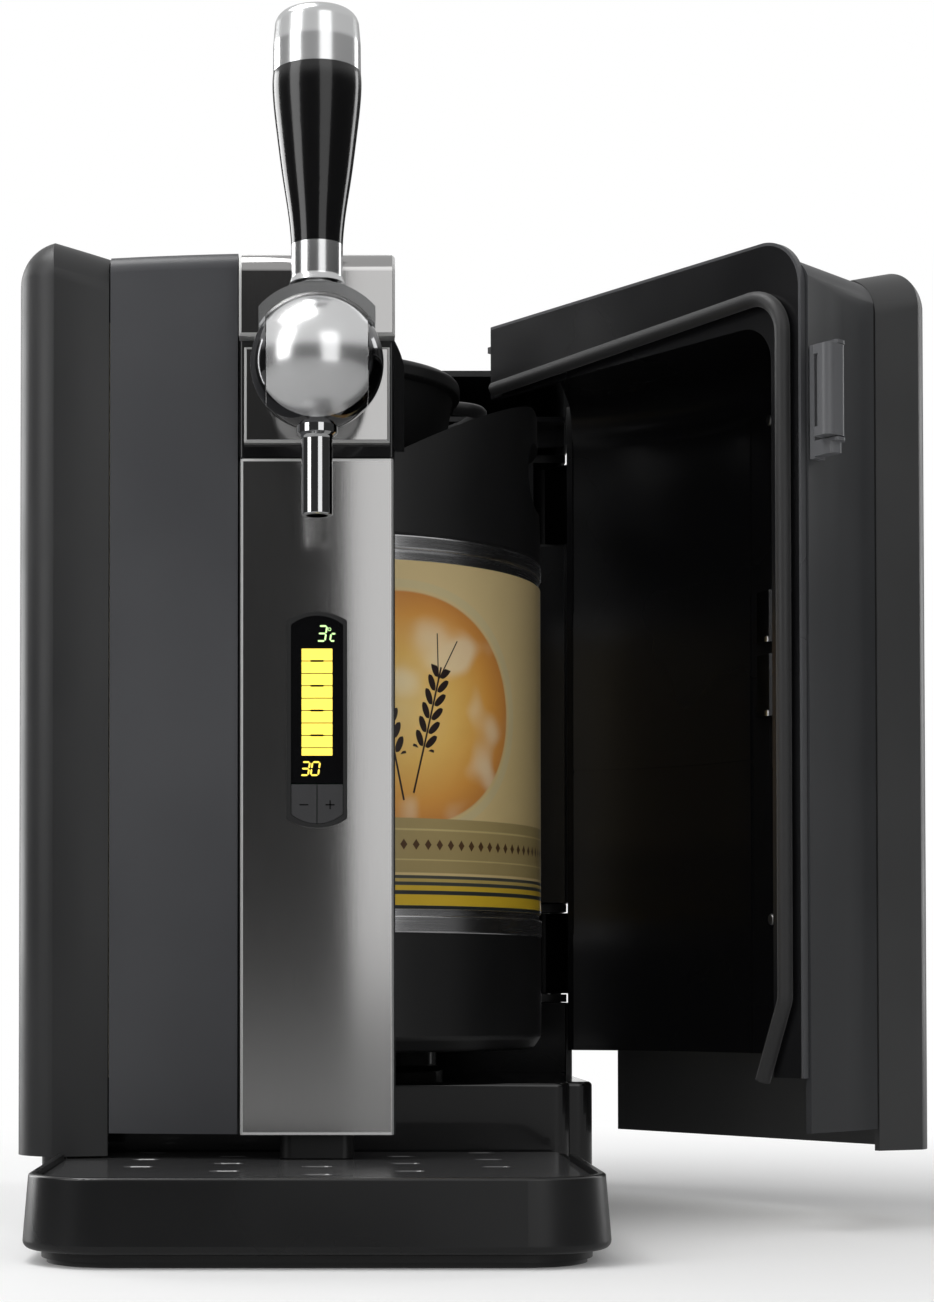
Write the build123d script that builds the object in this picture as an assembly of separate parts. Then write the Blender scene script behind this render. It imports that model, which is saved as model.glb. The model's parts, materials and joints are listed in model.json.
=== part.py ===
"""A home dispenser for small kegs: a tap column at the front, a chamber for one keg, and a side door.

Millimetres. +Z is up, -Y is the front, and the Z axis is the axis of the keg.
The origin is on the table. The door stands open, as when a keg is put in.
"""

from build123d import *

import math
import os

# ---------------------------------------------------------------- driving dimensions

# Keg, from the bottom up
keg_radius = 106.7
steel_wall = 1.2
band_step = 0.8
foot_height = 52.5
foot_opening = 44.0
low_band_height = 8.0
low_band_gap = 2.8
sleeve_height = 153.7
high_band_gap = 4.9
high_band_height = 6.4
collar_height = 73.2
collar_wall = 6.0
collar_dip_rise = 17.5
collar_slope = 28.5
coupler_height = 89.2
coupler_radius = 65.0
coupler_rim_radius = 68.5
coupler_rim_height = 7.5
coupler_skirt_depth = 42.0
coupler_stem = 24.0
cap_wall = 3.0
keg_way = -10.0

# Chamber
keg_clearance = 5.3
liner_wall = 2.5
ceiling_gap = 3.0
insulation = 13.0
liner_end_angle = 41.0
liner_lip = 11.7

# Body outline, seen from above
wall = 3.0
cheek_width = 40.2
nose_inset = 15.5
panel_edge_y = -115.3
front_y = -123.5
nose_y = -121.8
shoulder_y = -112.0
shoulder_radius = 22.0
rear_y = 190.0
rear_corner = 30.0
rear_edge = 20.0
part_line = 0.4

# Body seen from the front
wing_bottom = 32.5
panel_bottom = 42.3
top_room = 25.0
wing_rise = 6.3
wing_inner_drop = 1.3
wing_side_radius = 28.0
wing_lean = 54.0
peak_inset = 12.6
top_edge_radius = 8.0
groove_width = 0.8
groove_depth = 0.9

# Planes where the door meets the body
body_seam_x = 33.6
door_seam_x = 35.2
door_rear = 85.5
housing_gap = 1.0

# Door hinge and travel
hinge_inset = 10.0
hinge_y = 133.4
door_open = 38.0
hinge_pin_radius = 3.0
hinge_running_gap = 0.08
hinge_barrel_radius = 7.0
hinge_ear = 4.0
hinge_gap = 0.5
hinge_play = 0.3
pocket_height = 51.6
low_pocket_bottom = 97.7
high_pocket_drop = 12.0

# Base
floor_plate_bottom = 2.0
floor_plate_top = 5.0
deck_top = 62.3
deck_front = -64.0
deck_half_width = 115.0
deck_corner = 7.5
deck_edge_radius = 2.0
skirt_front = -55.5
skirt_inset = 1.5
skirt_corner = 8.0
rib_thickness = 2.4
rib_places = (-60.0, 0.0, 60.0)
tongue_front = -262.0
tongue_half_width = 106.0
tongue_corner = 30.0
foot_inset = 2.0
foot_width = 9.0
rest_radius = 60.0
rest_height = 4.0
rest_rim_height = 9.9
rest_gap = 0.3

# Drip tray
tray_half_width = 113.4
tray_front = -268.0
tray_back = -66.0
tray_corner = 35.0
tray_top = 34.0
tray_taper = 4.8
tray_wall = 3.0
tray_ledge = 4.0
grate_top = 31.5
grate_thickness = 3.0
fit_gap = 0.4

# Column
column_half_width = 32.8
column_front = -128.0
column_drop = 92.3
steel_sheet = 1.2
display_half_width = 12.9
display_bottom = 173.4
display_height = 92.8
display_arch = 4.0
display_rim = 1.7
button_height = 18.6
button_gap = 0.5
button_travel = 0.8
button_x = 5.6

# Tap
tap_y = -165.0
tap_drop = 60.3
ball_radius = 27.7
ball_band = 20.8
shank_radius = 12.0
tap_pin_radius = 3.0
tap_running_gap = 0.06
yoke_gap = 1.3
yoke_thickness = 4.4
yoke_half_depth = 8.5
yoke_half_width = 24.1
ferrule_rise = 32.8
ferrule_height = 16.0
ferrule_radius = 10.75
grip_height = 72.0
cap_height = 26.7
spout_radius = 6.5
spout_bore = 4.5
spout_lip_radius = 8.5
spout_lip_drop = 29.7
spout_drop = 63.6
lower_cover_drop = 26.0
lower_cover_height = 41.2
cover_gap = 3.4
upper_cover_inset = 4.9
lower_cover_half = 31.2
upper_cover_half = 33.3
lower_cover_front = -133.0
upper_cover_front = -138.0
cover_roll = 9.0
housing_half_width = 33.2
housing_back = -95.0
housing_flare = 5.0
flare_back = -122.5
beer_line_radius = 3.2

# Cooling unit
cooler_x = -20.0
cooler_z = 250.0
fan_side = 120.0
fan_depth = 25.0
fan_back = 186.0
fan_bore = 56.0
fin_count = 13
blade_count = 7
sink_front = 131.0
sink_base = 6.0
sink_back = 158.0

# ---------------------------------------------------------------- places that follow

keg_bottom = deck_top + rest_height + rest_rim_height + rest_gap
ring_low_bottom = keg_bottom + foot_height
ring_low_top = ring_low_bottom + low_band_height
sleeve_bottom = ring_low_top + low_band_gap
sleeve_top = sleeve_bottom + sleeve_height
ring_high_bottom = sleeve_top + high_band_gap
ring_high_top = ring_high_bottom + high_band_height
collar_top = ring_high_top + collar_height
collar_dip = ring_high_top + collar_dip_rise
coupler_top = ring_high_top + coupler_height
coupler_rim = coupler_top - coupler_rim_height
hose_z = coupler_top - 5.6
line_z = coupler_top - 10.0

chamber_radius = keg_radius + keg_clearance
chamber_outside = chamber_radius + liner_wall
chamber_ceiling = coupler_top + ceiling_gap
door_liner_bottom = deck_top + liner_lip

half_width = chamber_outside + insulation + wall
nose_x = half_width - nose_inset
panel_edge_x = half_width - cheek_width
wing_edge_x = panel_edge_x + part_line / 2
body_top = chamber_ceiling + liner_wall + top_room
wing_top = body_top + wing_rise
housing_front = door_rear + housing_gap
hinge_x = half_width - hinge_inset
high_pocket_top = chamber_ceiling - high_pocket_drop
hinge_pockets = [
    (low_pocket_bottom, low_pocket_bottom + pocket_height),
    (high_pocket_top - pocket_height, high_pocket_top),
]

column_top = body_top - column_drop
display_top = display_bottom + display_height
button_top = display_bottom + button_height
tap_z = body_top - tap_drop
ferrule_bottom = tap_z + ferrule_rise
ferrule_top = ferrule_bottom + ferrule_height
grip_top = ferrule_top + grip_height
handle_top = grip_top + cap_height
spout_bottom = tap_z - spout_drop
spout_collar_bottom = tap_z - spout_lip_drop
lower_cover = (tap_z - lower_cover_drop, tap_z - lower_cover_drop + lower_cover_height)
upper_cover = (lower_cover[1] + cover_gap, body_top - upper_cover_inset)


os.makedirs("parts", exist_ok=True)

# ---------------------------------------------------------------- helpers


def rounded_face(points, to_space):
    """Face inside a closed outline of (u, v) or (u, v, corner radius) points."""
    count = len(points)
    ends = []
    for i, point in enumerate(points):
        here = Vector(*point[:2])
        radius = point[2] if len(point) > 2 else 0
        if not radius:
            ends.append((here, None, here))
            continue
        back = (Vector(*points[i - 1][:2]) - here).normalized()
        ahead = (Vector(*points[(i + 1) % count][:2]) - here).normalized()
        half = math.radians(back.get_angle(ahead)) / 2
        reach = radius / math.tan(half)
        bisector = (back + ahead).normalized()
        middle = here + bisector * (radius / math.sin(half) - radius)
        ends.append((here + back * reach, middle, here + ahead * reach))
    edges = []
    for i, (start, middle, end) in enumerate(ends):
        if middle is not None:
            edges.append(ThreePointArc(to_space(start), to_space(middle), to_space(end)))
        following = ends[(i + 1) % count][0]
        if (following - end).length > 1e-6:
            edges.append(Line(to_space(end), to_space(following)))
    return make_face(Curve() + edges)


def prism_z(points, low, high):
    """Outline of (x, y) points, extruded from z = low to z = high."""
    face = rounded_face(points, lambda p: (p.X, p.Y, low))
    return extrude(face, amount=high - low, dir=(0, 0, 1))


def prism_y(points, low, high):
    """Outline of (x, z) points, extruded from y = low to y = high."""
    face = rounded_face(points, lambda p: (p.X, low, p.Y))
    return extrude(face, amount=high - low, dir=(0, 1, 0))


def prism_x(points, low, high):
    """Outline of (y, z) points, extruded from x = low to x = high."""
    face = rounded_face(points, lambda p: (low, p.X, p.Y))
    return extrude(face, amount=high - low, dir=(1, 0, 0))


def turned(points):
    """Solid of revolution about the Z axis of an outline of (radius, z) points."""
    face = rounded_face(points, lambda p: (p.X, 0, p.Y))
    return revolve(face, axis=Axis.Z)


def block(x, y, z):
    """Box between the two values of each of x, y and z."""
    low = (x[0], y[0], z[0])
    size = (x[1] - x[0], y[1] - y[0], z[1] - z[0])
    return Pos(*low) * Box(*size, align=(Align.MIN, Align.MIN, Align.MIN))


def rod_z(x, y, radius, low, high):
    return Pos(x, y, low) * Cylinder(radius, high - low, align=(Align.CENTER, Align.CENTER, Align.MIN))


def rod_y(x, z, radius, low, high):
    turn = Pos(x, low, z) * Rot(-90, 0, 0)
    return turn * Cylinder(radius, high - low, align=(Align.CENTER, Align.CENTER, Align.MIN))


def rod_x(y, z, radius, low, high):
    turn = Pos(low, y, z) * Rot(0, 90, 0)
    return turn * Cylinder(radius, high - low, align=(Align.CENTER, Align.CENTER, Align.MIN))


def hose(points, radius, bends):
    """Round bar along straight runs joined by tangent arcs."""
    path = FilletPolyline(*points, radius=bends)
    section = Plane(origin=path @ 0, z_dir=path % 0) * Circle(radius)
    return sweep(section, path=path)


def swing(shape, angle=door_open):
    """Turn a part of the closed door about the hinge."""
    return shape.rotate(Axis((hinge_x, hinge_y, 0), (0, 0, 1)), angle)


def save(name, shape):
    shape.label = name
    export_step(shape, f"parts/{name}.step")


# ---------------------------------------------------------------- shared outlines

everywhere = (-5 * half_width, 5 * half_width)

sagitta = panel_edge_y - front_y
front_radius = (panel_edge_x**2 + sagitta**2) / (2 * sagitta)
front_apex = panel_edge_y - panel_edge_x * math.tan(math.asin(panel_edge_x / front_radius))


def body_plan(low, high, inset=0.0):
    """The whole body's outline from above, drawn in by inset, as a prism."""
    right = [
        (panel_edge_x, panel_edge_y),
        (nose_x, nose_y, 2.5),
        (half_width, shoulder_y, shoulder_radius),
        (half_width, rear_y, rear_corner),
    ]
    left = [(-x, *rest) for x, *rest in reversed(right)]
    outline = [(0, front_apex, front_radius), *right, *left]
    face = rounded_face(outline, lambda p: (p.X, p.Y, low))
    if inset:
        face = offset(face, amount=-inset, kind=Kind.INTERSECTION)
    return extrude(face, amount=high - low, dir=(0, 0, 1))


def body_profile(inset=0.0):
    """The body seen from the front, drawn in by inset: peaked wings beside a lower top."""
    fall = peak_inset / math.tan(math.radians(wing_lean))
    right = [
        (half_width, -wing_top),
        (half_width, wing_top - fall, wing_side_radius),
        (half_width - peak_inset, wing_top, 1.5),
        (panel_edge_x, body_top - wing_inner_drop),
    ]
    left = [(-x, *rest) for x, *rest in reversed(right)]
    face = rounded_face([*right, *left], lambda p: (p.X, everywhere[0], p.Y))
    if inset:
        face = offset(face, amount=-inset, kind=Kind.INTERSECTION)
    bottom = block(everywhere, everywhere, (wing_bottom - inset, 2 * wing_top))
    return extrude(face, amount=everywhere[1] - everywhere[0], dir=(0, 1, 0)) & bottom


def chamber_plan(radius, low, high):
    """Keg chamber: a round end to the left, and straight walls along the keg's way out."""
    straight = Rot(0, 0, keg_way) * block((0, 200), (-radius, radius), (low, high))
    return rod_z(0, 0, radius, low, high) + straight


body_outer = body_plan(wing_bottom, wing_top + 5)
body_inner = body_plan(wing_bottom - 5, wing_top + 5, wall)
shell = body_outer & body_profile()
hollow = body_inner & body_profile(wall)

# ---------------------------------------------------------------- base


def corners(half, front, back, front_corner, back_corner):
    """Outline of a plate that is symmetric about the middle, with rounded corners."""
    return [
        (-half, front, front_corner),
        (half, front, front_corner),
        (half, back, back_corner),
        (-half, back, back_corner),
    ]


def deck_outline(inset):
    """Front part of the base, as wide as the platform under the keg."""
    return corners(deck_half_width - inset, deck_front + inset, 0, deck_corner - inset, 0)


def skirt_outline(inset):
    """Rear part of the base, nearly as wide as the body above it."""
    half = half_width - wall - skirt_inset - inset
    back = rear_y - wall - 1 - inset
    return corners(half, skirt_front + inset, back, skirt_corner - inset, rear_corner - wall - 1 - inset)


def foot_outline(inset):
    corner = tongue_corner - inset
    return corners(tongue_half_width - inset, tongue_front + inset, rear_y - 10 - inset, corner, corner)


def make_base():
    """Moulded base with the platform that the keg stands on, open below and ribbed inside."""
    outer = prism_z(deck_outline(0), floor_plate_top, deck_top)
    outer += prism_z(skirt_outline(0), floor_plate_top, deck_top)
    outer = fillet(outer.edges().filter_by(Plane.XY).group_by(Axis.Z)[-1], deck_edge_radius)
    inner = prism_z(deck_outline(wall), floor_plate_top - 1, deck_top - wall)
    inner += prism_z(skirt_outline(wall), floor_plate_top - 1, deck_top - wall)
    base = outer - inner
    for x in rib_places:
        half = rib_thickness / 2
        rib = block((x - half, x + half), (deck_front, rear_y), (floor_plate_top, deck_top - wall))
        base += rib & inner
    return base


def make_bottom_plate():
    """Floor of the base, with the tongue under the drip tray."""
    tongue = corners(tongue_half_width, tongue_front, 0, tongue_corner, 0)
    plate = prism_z(tongue, floor_plate_bottom, floor_plate_top)
    plate += prism_z(deck_outline(0), floor_plate_bottom, floor_plate_top)
    return plate + prism_z(skirt_outline(0), floor_plate_bottom, floor_plate_top)


def make_foot_ring():
    """Rubber strip round the underside."""
    outer = prism_z(foot_outline(foot_inset), 0, floor_plate_bottom)
    return outer - prism_z(foot_outline(foot_inset + foot_width), -1, floor_plate_bottom + 1)


save("base", make_base())
save("bottom_plate", make_bottom_plate())
save("foot_ring", make_foot_ring())


def make_keg_rest():
    """Low round stand with a rim, on which the keg turns into place."""
    flat = deck_top + rest_height
    rim_top = flat + rest_rim_height
    return turned(
        [
            (rest_radius - 40, deck_top),
            (rest_radius, deck_top),
            (rest_radius, flat, 1),
            (rest_radius - 3, flat + 2, 2),
            (rest_radius - 3, rim_top, 1),
            (rest_radius - 13, rim_top, 1),
            (rest_radius - 15, flat, 2),
            (rest_radius - 40, flat),
        ]
    )


save("keg_rest", make_keg_rest())

# ---------------------------------------------------------------- drip tray


def tray_plan(inset):
    edge = tray_half_width - inset
    front = tray_front + inset
    back = tray_back - inset
    corner = tray_corner - inset
    return [(-edge, front, corner), (edge, front, corner), (edge, back, 4), (-edge, back, 4)]


tray_bottom = floor_plate_top + fit_gap
tray_lean = math.tan(math.radians(tray_taper)) * (tray_top - tray_bottom)
low_rim_y = nose_y - 4.0


def make_tray():
    """Drip tray: a tapered tub with a ledge for the grate, and a lower rim where it goes under the body."""
    foot = rounded_face(tray_plan(0), lambda p: (p.X, p.Y, tray_bottom))
    tub = extrude(foot, amount=tray_top - tray_bottom, taper=tray_taper)
    tub = fillet(tub.edges().group_by(Axis.Z)[0], 3.0)
    tub = fillet(tub.edges().group_by(Axis.Z)[-1], 1.2)
    rim = tray_lean + tray_wall
    seat = grate_top - grate_thickness
    tub -= prism_z(tray_plan(rim), seat, tray_top + 1)
    tub -= prism_z(tray_plan(rim + tray_ledge), tray_bottom + tray_wall, tray_top + 1)
    tub -= block(everywhere, (low_rim_y, 0), (grate_top - 1, tray_top + 1))
    return tub


slot_columns = [(0.0, -212.0, 4), (37.0, -193.0, 3), (-37.0, -193.0, 3), (73.5, -168.0, 3), (-73.5, -168.0, 3)]
slot_pitch = 45.0
slot_length = 11.0
slot_width = 4.6
slot_bevel = 0.9


def make_grate():
    """Flat insert with staggered rows of short drain slots."""
    plate = prism_z(tray_plan(tray_lean + tray_wall + fit_gap), grate_top - grate_thickness, grate_top)
    bevel = SlotOverall(slot_length + 2 * slot_bevel, slot_width + 2 * slot_bevel)
    for x, first, rows in slot_columns:
        for row in range(rows):
            y = first + row * slot_pitch
            slot = Pos(x, y, grate_top - grate_thickness - 1) * SlotOverall(slot_length, slot_width)
            plate -= extrude(slot, amount=grate_thickness + 2)
            plate -= extrude(Pos(x, y, grate_top) * bevel, amount=-slot_bevel, taper=45)
    return plate


save("drip_tray", make_tray())
save("drip_grate", make_grate())

# ---------------------------------------------------------------- fixed covers

left_strip = block((-half_width - 5, -wing_edge_x), (-400, door_rear), everywhere)
nose_groove = block(
    (-nose_x - groove_width, -nose_x), (nose_y - wall, nose_y + groove_depth), (wing_bottom - 1, 2 * wing_top)
)
left_cover = ((shell - hollow) & left_strip) - nose_groove
save("left_cover", left_cover)


def front_panel(x_low, x_high):
    """Curved front panel with a short return over the top."""
    strip = block((x_low, x_high), (-200, panel_edge_y + 12), everywhere)
    outer = body_plan(panel_bottom, body_top) & strip
    top_arc = outer.edges().filter_by(GeomType.CIRCLE).group_by(Axis.Z)[-1]
    outer = fillet(top_arc, top_edge_radius)
    inner = body_plan(panel_bottom - 1, body_top - wall, wall)
    inner &= block((x_low - 1, x_high + 1), everywhere, everywhere)
    top_arc = inner.edges().filter_by(GeomType.CIRCLE).group_by(Axis.Z)[-1].group_by(Axis.Y)[0]
    return outer - fillet(top_arc, top_edge_radius - wall)


def top_plate(x_low, x_high):
    """Flat part of the top, behind the front panel's return."""
    return block((x_low, x_high), (panel_edge_y + 12, door_rear), (body_top - wall, body_top))


housing_side = housing_half_width + 1.0
housing_slot = block((-housing_side, body_seam_x + 1), (-300, housing_back + part_line), everywhere)
panel_span = (-panel_edge_x + part_line, -housing_side)
top_span = (-panel_edge_x + part_line, body_seam_x)
save("front_panel", front_panel(*panel_span) + (top_plate(*top_span) - housing_slot))

# rear housing
grille_x = (cooler_x - 66.0, cooler_x + 66.0)
grille_z = (cooler_z - 66.0, cooler_z + 66.0)
inlet_x = 85.0
inlet_z = 84.0
inlet_half = (14.0, 10.5)
screw_places = [(-104.0, 60.0), (112.0, 60.0), (-104.0, body_top - 32.5), (104.0, body_top - 32.5)]
rear_screw_radius = 4.0
rear_screw_depth = 1.6


def make_rear_housing():
    """Rear box round the cooling unit, with pockets for the hinges in its right side."""
    lid = prism_x([(-400, -50), (rear_y, -50), (rear_y, wing_top, rear_edge), (-400, wing_top)], *everywhere)
    back = rear_y - wall
    top = wing_top - wall
    room = prism_x([(-400, -50), (back, -50), (back, top, rear_edge - wall), (-400, top)], *everywhere)
    box = ((shell & lid) - (hollow & room)) & block(everywhere, (housing_front, 300), everywhere)
    box -= block(grille_x, (rear_y - 8, rear_y + 5), grille_z)
    wide, tall = inlet_half
    box -= block((inlet_x - wide, inlet_x + wide), (rear_y - 8, rear_y + 5), (inlet_z - tall, inlet_z + tall))
    for low, high in hinge_pockets:
        box -= block((half_width - 8, half_width + 5), (80, hinge_y + hinge_barrel_radius + 3), (low, high))
    for x, z in screw_places:
        box -= rod_y(x, z, rear_screw_radius + 0.1, rear_y - rear_screw_depth, rear_y + 1)
        box -= rod_y(x, z, 2.1, rear_y - 8, rear_y + 1)
    return box


save("rear_housing", make_rear_housing())


def make_rear_screws():
    screws = []
    for x, z in screw_places:
        head = rod_y(x, z, rear_screw_radius, rear_y - rear_screw_depth, rear_y - 0.2)
        head += rod_y(x, z, 2.0, rear_y - wall - 0.5, rear_y - rear_screw_depth)
        slot = block((x - 3, x + 3), (rear_y - 1.0, rear_y + 1), (z - 0.5, z + 0.5))
        screws.append(head - slot - Pos(x, 0, z) * Rot(0, 90, 0) * Pos(-x, 0, -z) * slot)
    return Compound(children=screws)


save("rear_screws", make_rear_screws())


def make_grille():
    """Vent panel of level slats that keeps fingers from the fan."""
    inset = 0.2
    across = (grille_x[0] + inset, grille_x[1] - inset)
    frame = block(across, (rear_y - wall, rear_y), (grille_z[0] + inset, grille_z[1] - inset))
    border = 6.0
    gap = 5.0
    slat = 3.0
    z = grille_z[0] + border
    while z + gap < grille_z[1] - border:
        slot_x = (grille_x[0] + border, grille_x[1] - border)
        frame -= block(slot_x, (rear_y - wall - 1, rear_y + 1), (z, z + gap))
        z += gap + slat
    return frame


save("rear_grille", make_grille())


def make_power_inlet():
    """Three-pin mains inlet let into the back."""
    wide, tall = inlet_half
    rim_x = (inlet_x - wide - 3, inlet_x + wide + 3)
    rim = block(rim_x, (rear_y, rear_y + 2), (inlet_z - tall - 3, inlet_z + tall + 3))
    body_x = (inlet_x - wide + 0.1, inlet_x + wide - 0.1)
    body = block(body_x, (rear_y - 16, rear_y), (inlet_z - tall + 0.1, inlet_z + tall - 0.1))
    socket = prism_y(
        [
            (inlet_x - wide + 2, inlet_z - tall + 2),
            (inlet_x + wide - 2, inlet_z - tall + 2),
            (inlet_x + wide - 2, inlet_z + tall - 5),
            (inlet_x + wide - 5, inlet_z + tall - 2),
            (inlet_x - wide + 5, inlet_z + tall - 2),
            (inlet_x - wide + 2, inlet_z + tall - 5),
        ],
        rear_y - 12,
        rear_y + 5,
    )
    inlet = rim + body - socket
    for x, z in ((inlet_x - 6, inlet_z - 2), (inlet_x, inlet_z + 3), (inlet_x + 6, inlet_z - 2)):
        inlet += block((x - 1, x + 1), (rear_y - 13, rear_y - 1), (z - 2, z + 2))
    return inlet


save("power_inlet", make_power_inlet())

# ---------------------------------------------------------------- chamber

cold_angles = (84.0, 138.0)
cold_z = (190.0, 310.0)


def sector(first, last, reach, low, high):
    """Wedge about the keg's axis between two angles."""
    steps = [first, (first + last) / 2, last]
    points = [(0, 0)] + [(reach * math.cos(math.radians(a)), reach * math.sin(math.radians(a))) for a in steps]
    return prism_z(points, low, high)


def line_hole(radius):
    """Room for the beer line through the chamber's front wall and the tap housing."""
    return hose([(0, -100, line_z), (0, -118, line_z), (0, -131, tap_z), (0, -146, tap_z)], radius, [4, 4])


def hinge_rooms(grow=0.0):
    reach = (chamber_radius, half_width + wall)
    rooms = [block(reach, (80, 120), (low - grow, high + grow)) for low, high in hinge_pockets]
    return rooms[0] + rooms[1]


def make_chamber_liner():
    """Fixed half of the keg chamber's wall, open to the right."""
    wall_ring = chamber_plan(chamber_outside, deck_top, chamber_ceiling) - chamber_plan(
        chamber_radius, deck_top - 1, chamber_ceiling + 1
    )
    keep = block((-200, body_seam_x), (-200, 50), everywhere)
    keep += block((-200, half_width - wall), (0, 200), everywhere)
    liner = wall_ring & keep
    liner -= sector(*cold_angles, 200, *cold_z)
    liner -= hinge_rooms()
    liner -= rod_y(0, line_z, beer_line_radius + 0.3, -130, -100)
    return liner


def make_chamber_ceiling():
    """Flat lid of the chamber beside and behind the door's opening."""
    lid = chamber_plan(chamber_outside, chamber_ceiling, chamber_ceiling + liner_wall)
    keep = block((-200, body_seam_x - 5.6), (-200, 200), everywhere)
    keep += block((-200, half_width - wall), (housing_front + 0.5, 200), everywhere)
    return lid & keep


save("chamber_liner", make_chamber_liner() + make_chamber_ceiling())


def make_insulation():
    """Foam between the left cover and the chamber."""
    foam = body_plan(deck_top + 4, chamber_ceiling - 2, wall + 0.3)
    foam &= block((-200, -housing_side - 0.3), (-200, door_rear - 4), everywhere)
    return foam - chamber_plan(chamber_outside + 0.3, 0, body_top)


save("insulation", make_insulation())


def make_cold_plate():
    """Cast plate in the chamber's rear wall, with the block that meets the thermoelectric module."""
    plate = rod_z(0, 0, chamber_outside, *cold_z) - rod_z(0, 0, chamber_radius, cold_z[0] - 1, cold_z[1] + 1)
    plate &= sector(cold_angles[0] + 0.2, cold_angles[1] - 0.2, 200, cold_z[0] + 0.3, cold_z[1] - 0.3)
    boss = block((cooler_x - 26, cooler_x + 26), (95, sink_front - 4), (cooler_z - 26, cooler_z + 26))
    return plate + (boss - rod_z(0, 0, chamber_radius + 1, 0, body_top))


save("cold_plate", make_cold_plate())
save(
    "peltier_module",
    block((cooler_x - 20, cooler_x + 20), (sink_front - 4, sink_front), (cooler_z - 20, cooler_z + 20)),
)


def make_heatsink():
    """Extruded aluminium sink with upright fins."""
    half = fan_side / 2
    across = (cooler_x - half, cooler_x + half)
    sink = block(across, (sink_front, sink_front + sink_base), (cooler_z - half, cooler_z + half))
    pitch = (fan_side - 2.0) / (fin_count - 1)
    for i in range(fin_count):
        x = cooler_x - half + i * pitch
        sink += block((x, x + 2.0), (sink_front + sink_base, sink_back), (cooler_z - half, cooler_z + half))
    return sink


save("heatsink", make_heatsink())

fan_front = fan_back - fan_depth
fan_shaft = 2.5


def make_fan_frame():
    """Square fan frame whose four struts carry the motor boss."""
    half = fan_side / 2
    frame = block((cooler_x - half, cooler_x + half), (sink_back, fan_back), (cooler_z - half, cooler_z + half))
    frame -= rod_y(cooler_x, cooler_z, fan_bore, sink_back - 1, fan_back + 1)
    boss = rod_y(cooler_x, cooler_z, 19, fan_back - 5, fan_back)
    for angle in (0, 90, 180, 270):
        bar = block((12, fan_bore + 1), (fan_back - 4, fan_back), (-2, 2))
        boss += Pos(cooler_x, 0, cooler_z) * Rot(0, angle + 45, 0) * bar
    boss -= rod_y(cooler_x, cooler_z, fan_shaft + 0.06, fan_back - 6, fan_back - 1)
    return frame + boss


def make_impeller():
    """Hub, shaft and pitched blades."""
    hub = rod_y(cooler_x, cooler_z, 18, fan_front + 2, fan_back - 6)
    hub += rod_y(cooler_x, cooler_z, fan_shaft, fan_back - 6.5, fan_back - 1.3)
    blade = Pos(35, (fan_front + fan_back) / 2 - 2, 0) * Rot(38, 0, 0) * Box(37, 1.6, 20)
    for i in range(blade_count):
        hub += Pos(cooler_x, 0, cooler_z) * Rot(0, i * 360 / blade_count, 0) * blade
    return hub


save("fan_frame", make_fan_frame())
save("fan_impeller", make_impeller())


def make_air_pump():
    """Small diaphragm pump that pushes the beer out: motor, head and outlet."""
    pump = block((-104, -52), (132, 166), (deck_top, deck_top + 26))
    pump += rod_x(149, deck_top + 41, 16, -104, -62)
    pump += block((-98, -68), (136, 162), (deck_top + 26, deck_top + 34))
    return pump + rod_z(-58, 149, 3, deck_top + 26, deck_top + 36)


def make_power_supply():
    """Open-frame supply: board, transformer and two capacitors."""
    supply = block((20, 104), (128, 170), (deck_top, deck_top + 2))
    supply += block((28, 58), (134, 162), (deck_top + 2, deck_top + 28))
    supply += rod_z(72, 142, 7, deck_top + 2, deck_top + 24)
    return supply + rod_z(72, 158, 7, deck_top + 2, deck_top + 24)


def make_control_board():
    """Upright board with two relays and a row of plugs."""
    board = block((20, 64), (172, 173.6), (deck_top, deck_top + 70))
    for x in (24, 42):
        board += block((x, x + 14), (162, 172), (deck_top + 40, deck_top + 56))
    return board + block((24, 60), (166, 172), (deck_top + 26, deck_top + 34))


save("air_pump", make_air_pump())
save("electronics", Compound(children=[make_power_supply(), make_control_board()]))

# ---------------------------------------------------------------- column and display

core_front = column_front + steel_sheet
core_step = -122.6


def display_outline(inset, low, high):
    """Upright slot shape with gently arched ends."""
    half = display_half_width - inset
    bottom = low + inset
    top = high - inset
    arch = display_arch
    edges = [
        ThreePointArc((-half, top - arch), (0, top), (half, top - arch)),
        Line((half, top - arch), (half, bottom + arch)),
        ThreePointArc((half, bottom + arch), (0, bottom), (-half, bottom + arch)),
        Line((-half, bottom + arch), (-half, top - arch)),
    ]
    return make_face(Curve() + edges)


def display_prism(inset, front, back):
    face = Plane(origin=(0, front, 0), x_dir=(1, 0, 0), z_dir=(0, -1, 0)) * display_outline(
        inset, display_bottom, display_top
    )
    return extrude(face, amount=back - front, dir=(0, 1, 0))


def make_column_panel():
    """Brushed sheet folded back at both sides, with the display's opening."""
    outer = block((-column_half_width, column_half_width), (column_front, core_step), (panel_bottom, column_top))
    outer = chamfer(outer.edges().filter_by(Axis.Z).group_by(Axis.Y)[0], 0.9)
    inside = column_half_width - steel_sheet
    outer -= block((-inside, inside), (core_front, 0), (0, body_top))
    return outer - display_prism(-0.05, column_front - 5, 0)


def make_column_core():
    """Moulding behind the sheet, with the display's pocket and the foot below."""
    inside = column_half_width - steel_sheet - 0.1
    core = block((-inside, inside), (core_front, core_step), (panel_bottom, column_top))
    core += block((-body_seam_x, body_seam_x), (core_step, -104), (panel_bottom, column_top))
    core -= chamber_plan(chamber_outside, 0, body_top)
    core -= display_prism(-0.05, -200, core_step + 0.5)
    foot = prism_z([(-16, -122, 5), (16, -122, 5), (16, -110, 2), (-16, -110, 2)], grate_top + fit_gap, panel_bottom)
    return core + foot


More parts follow.
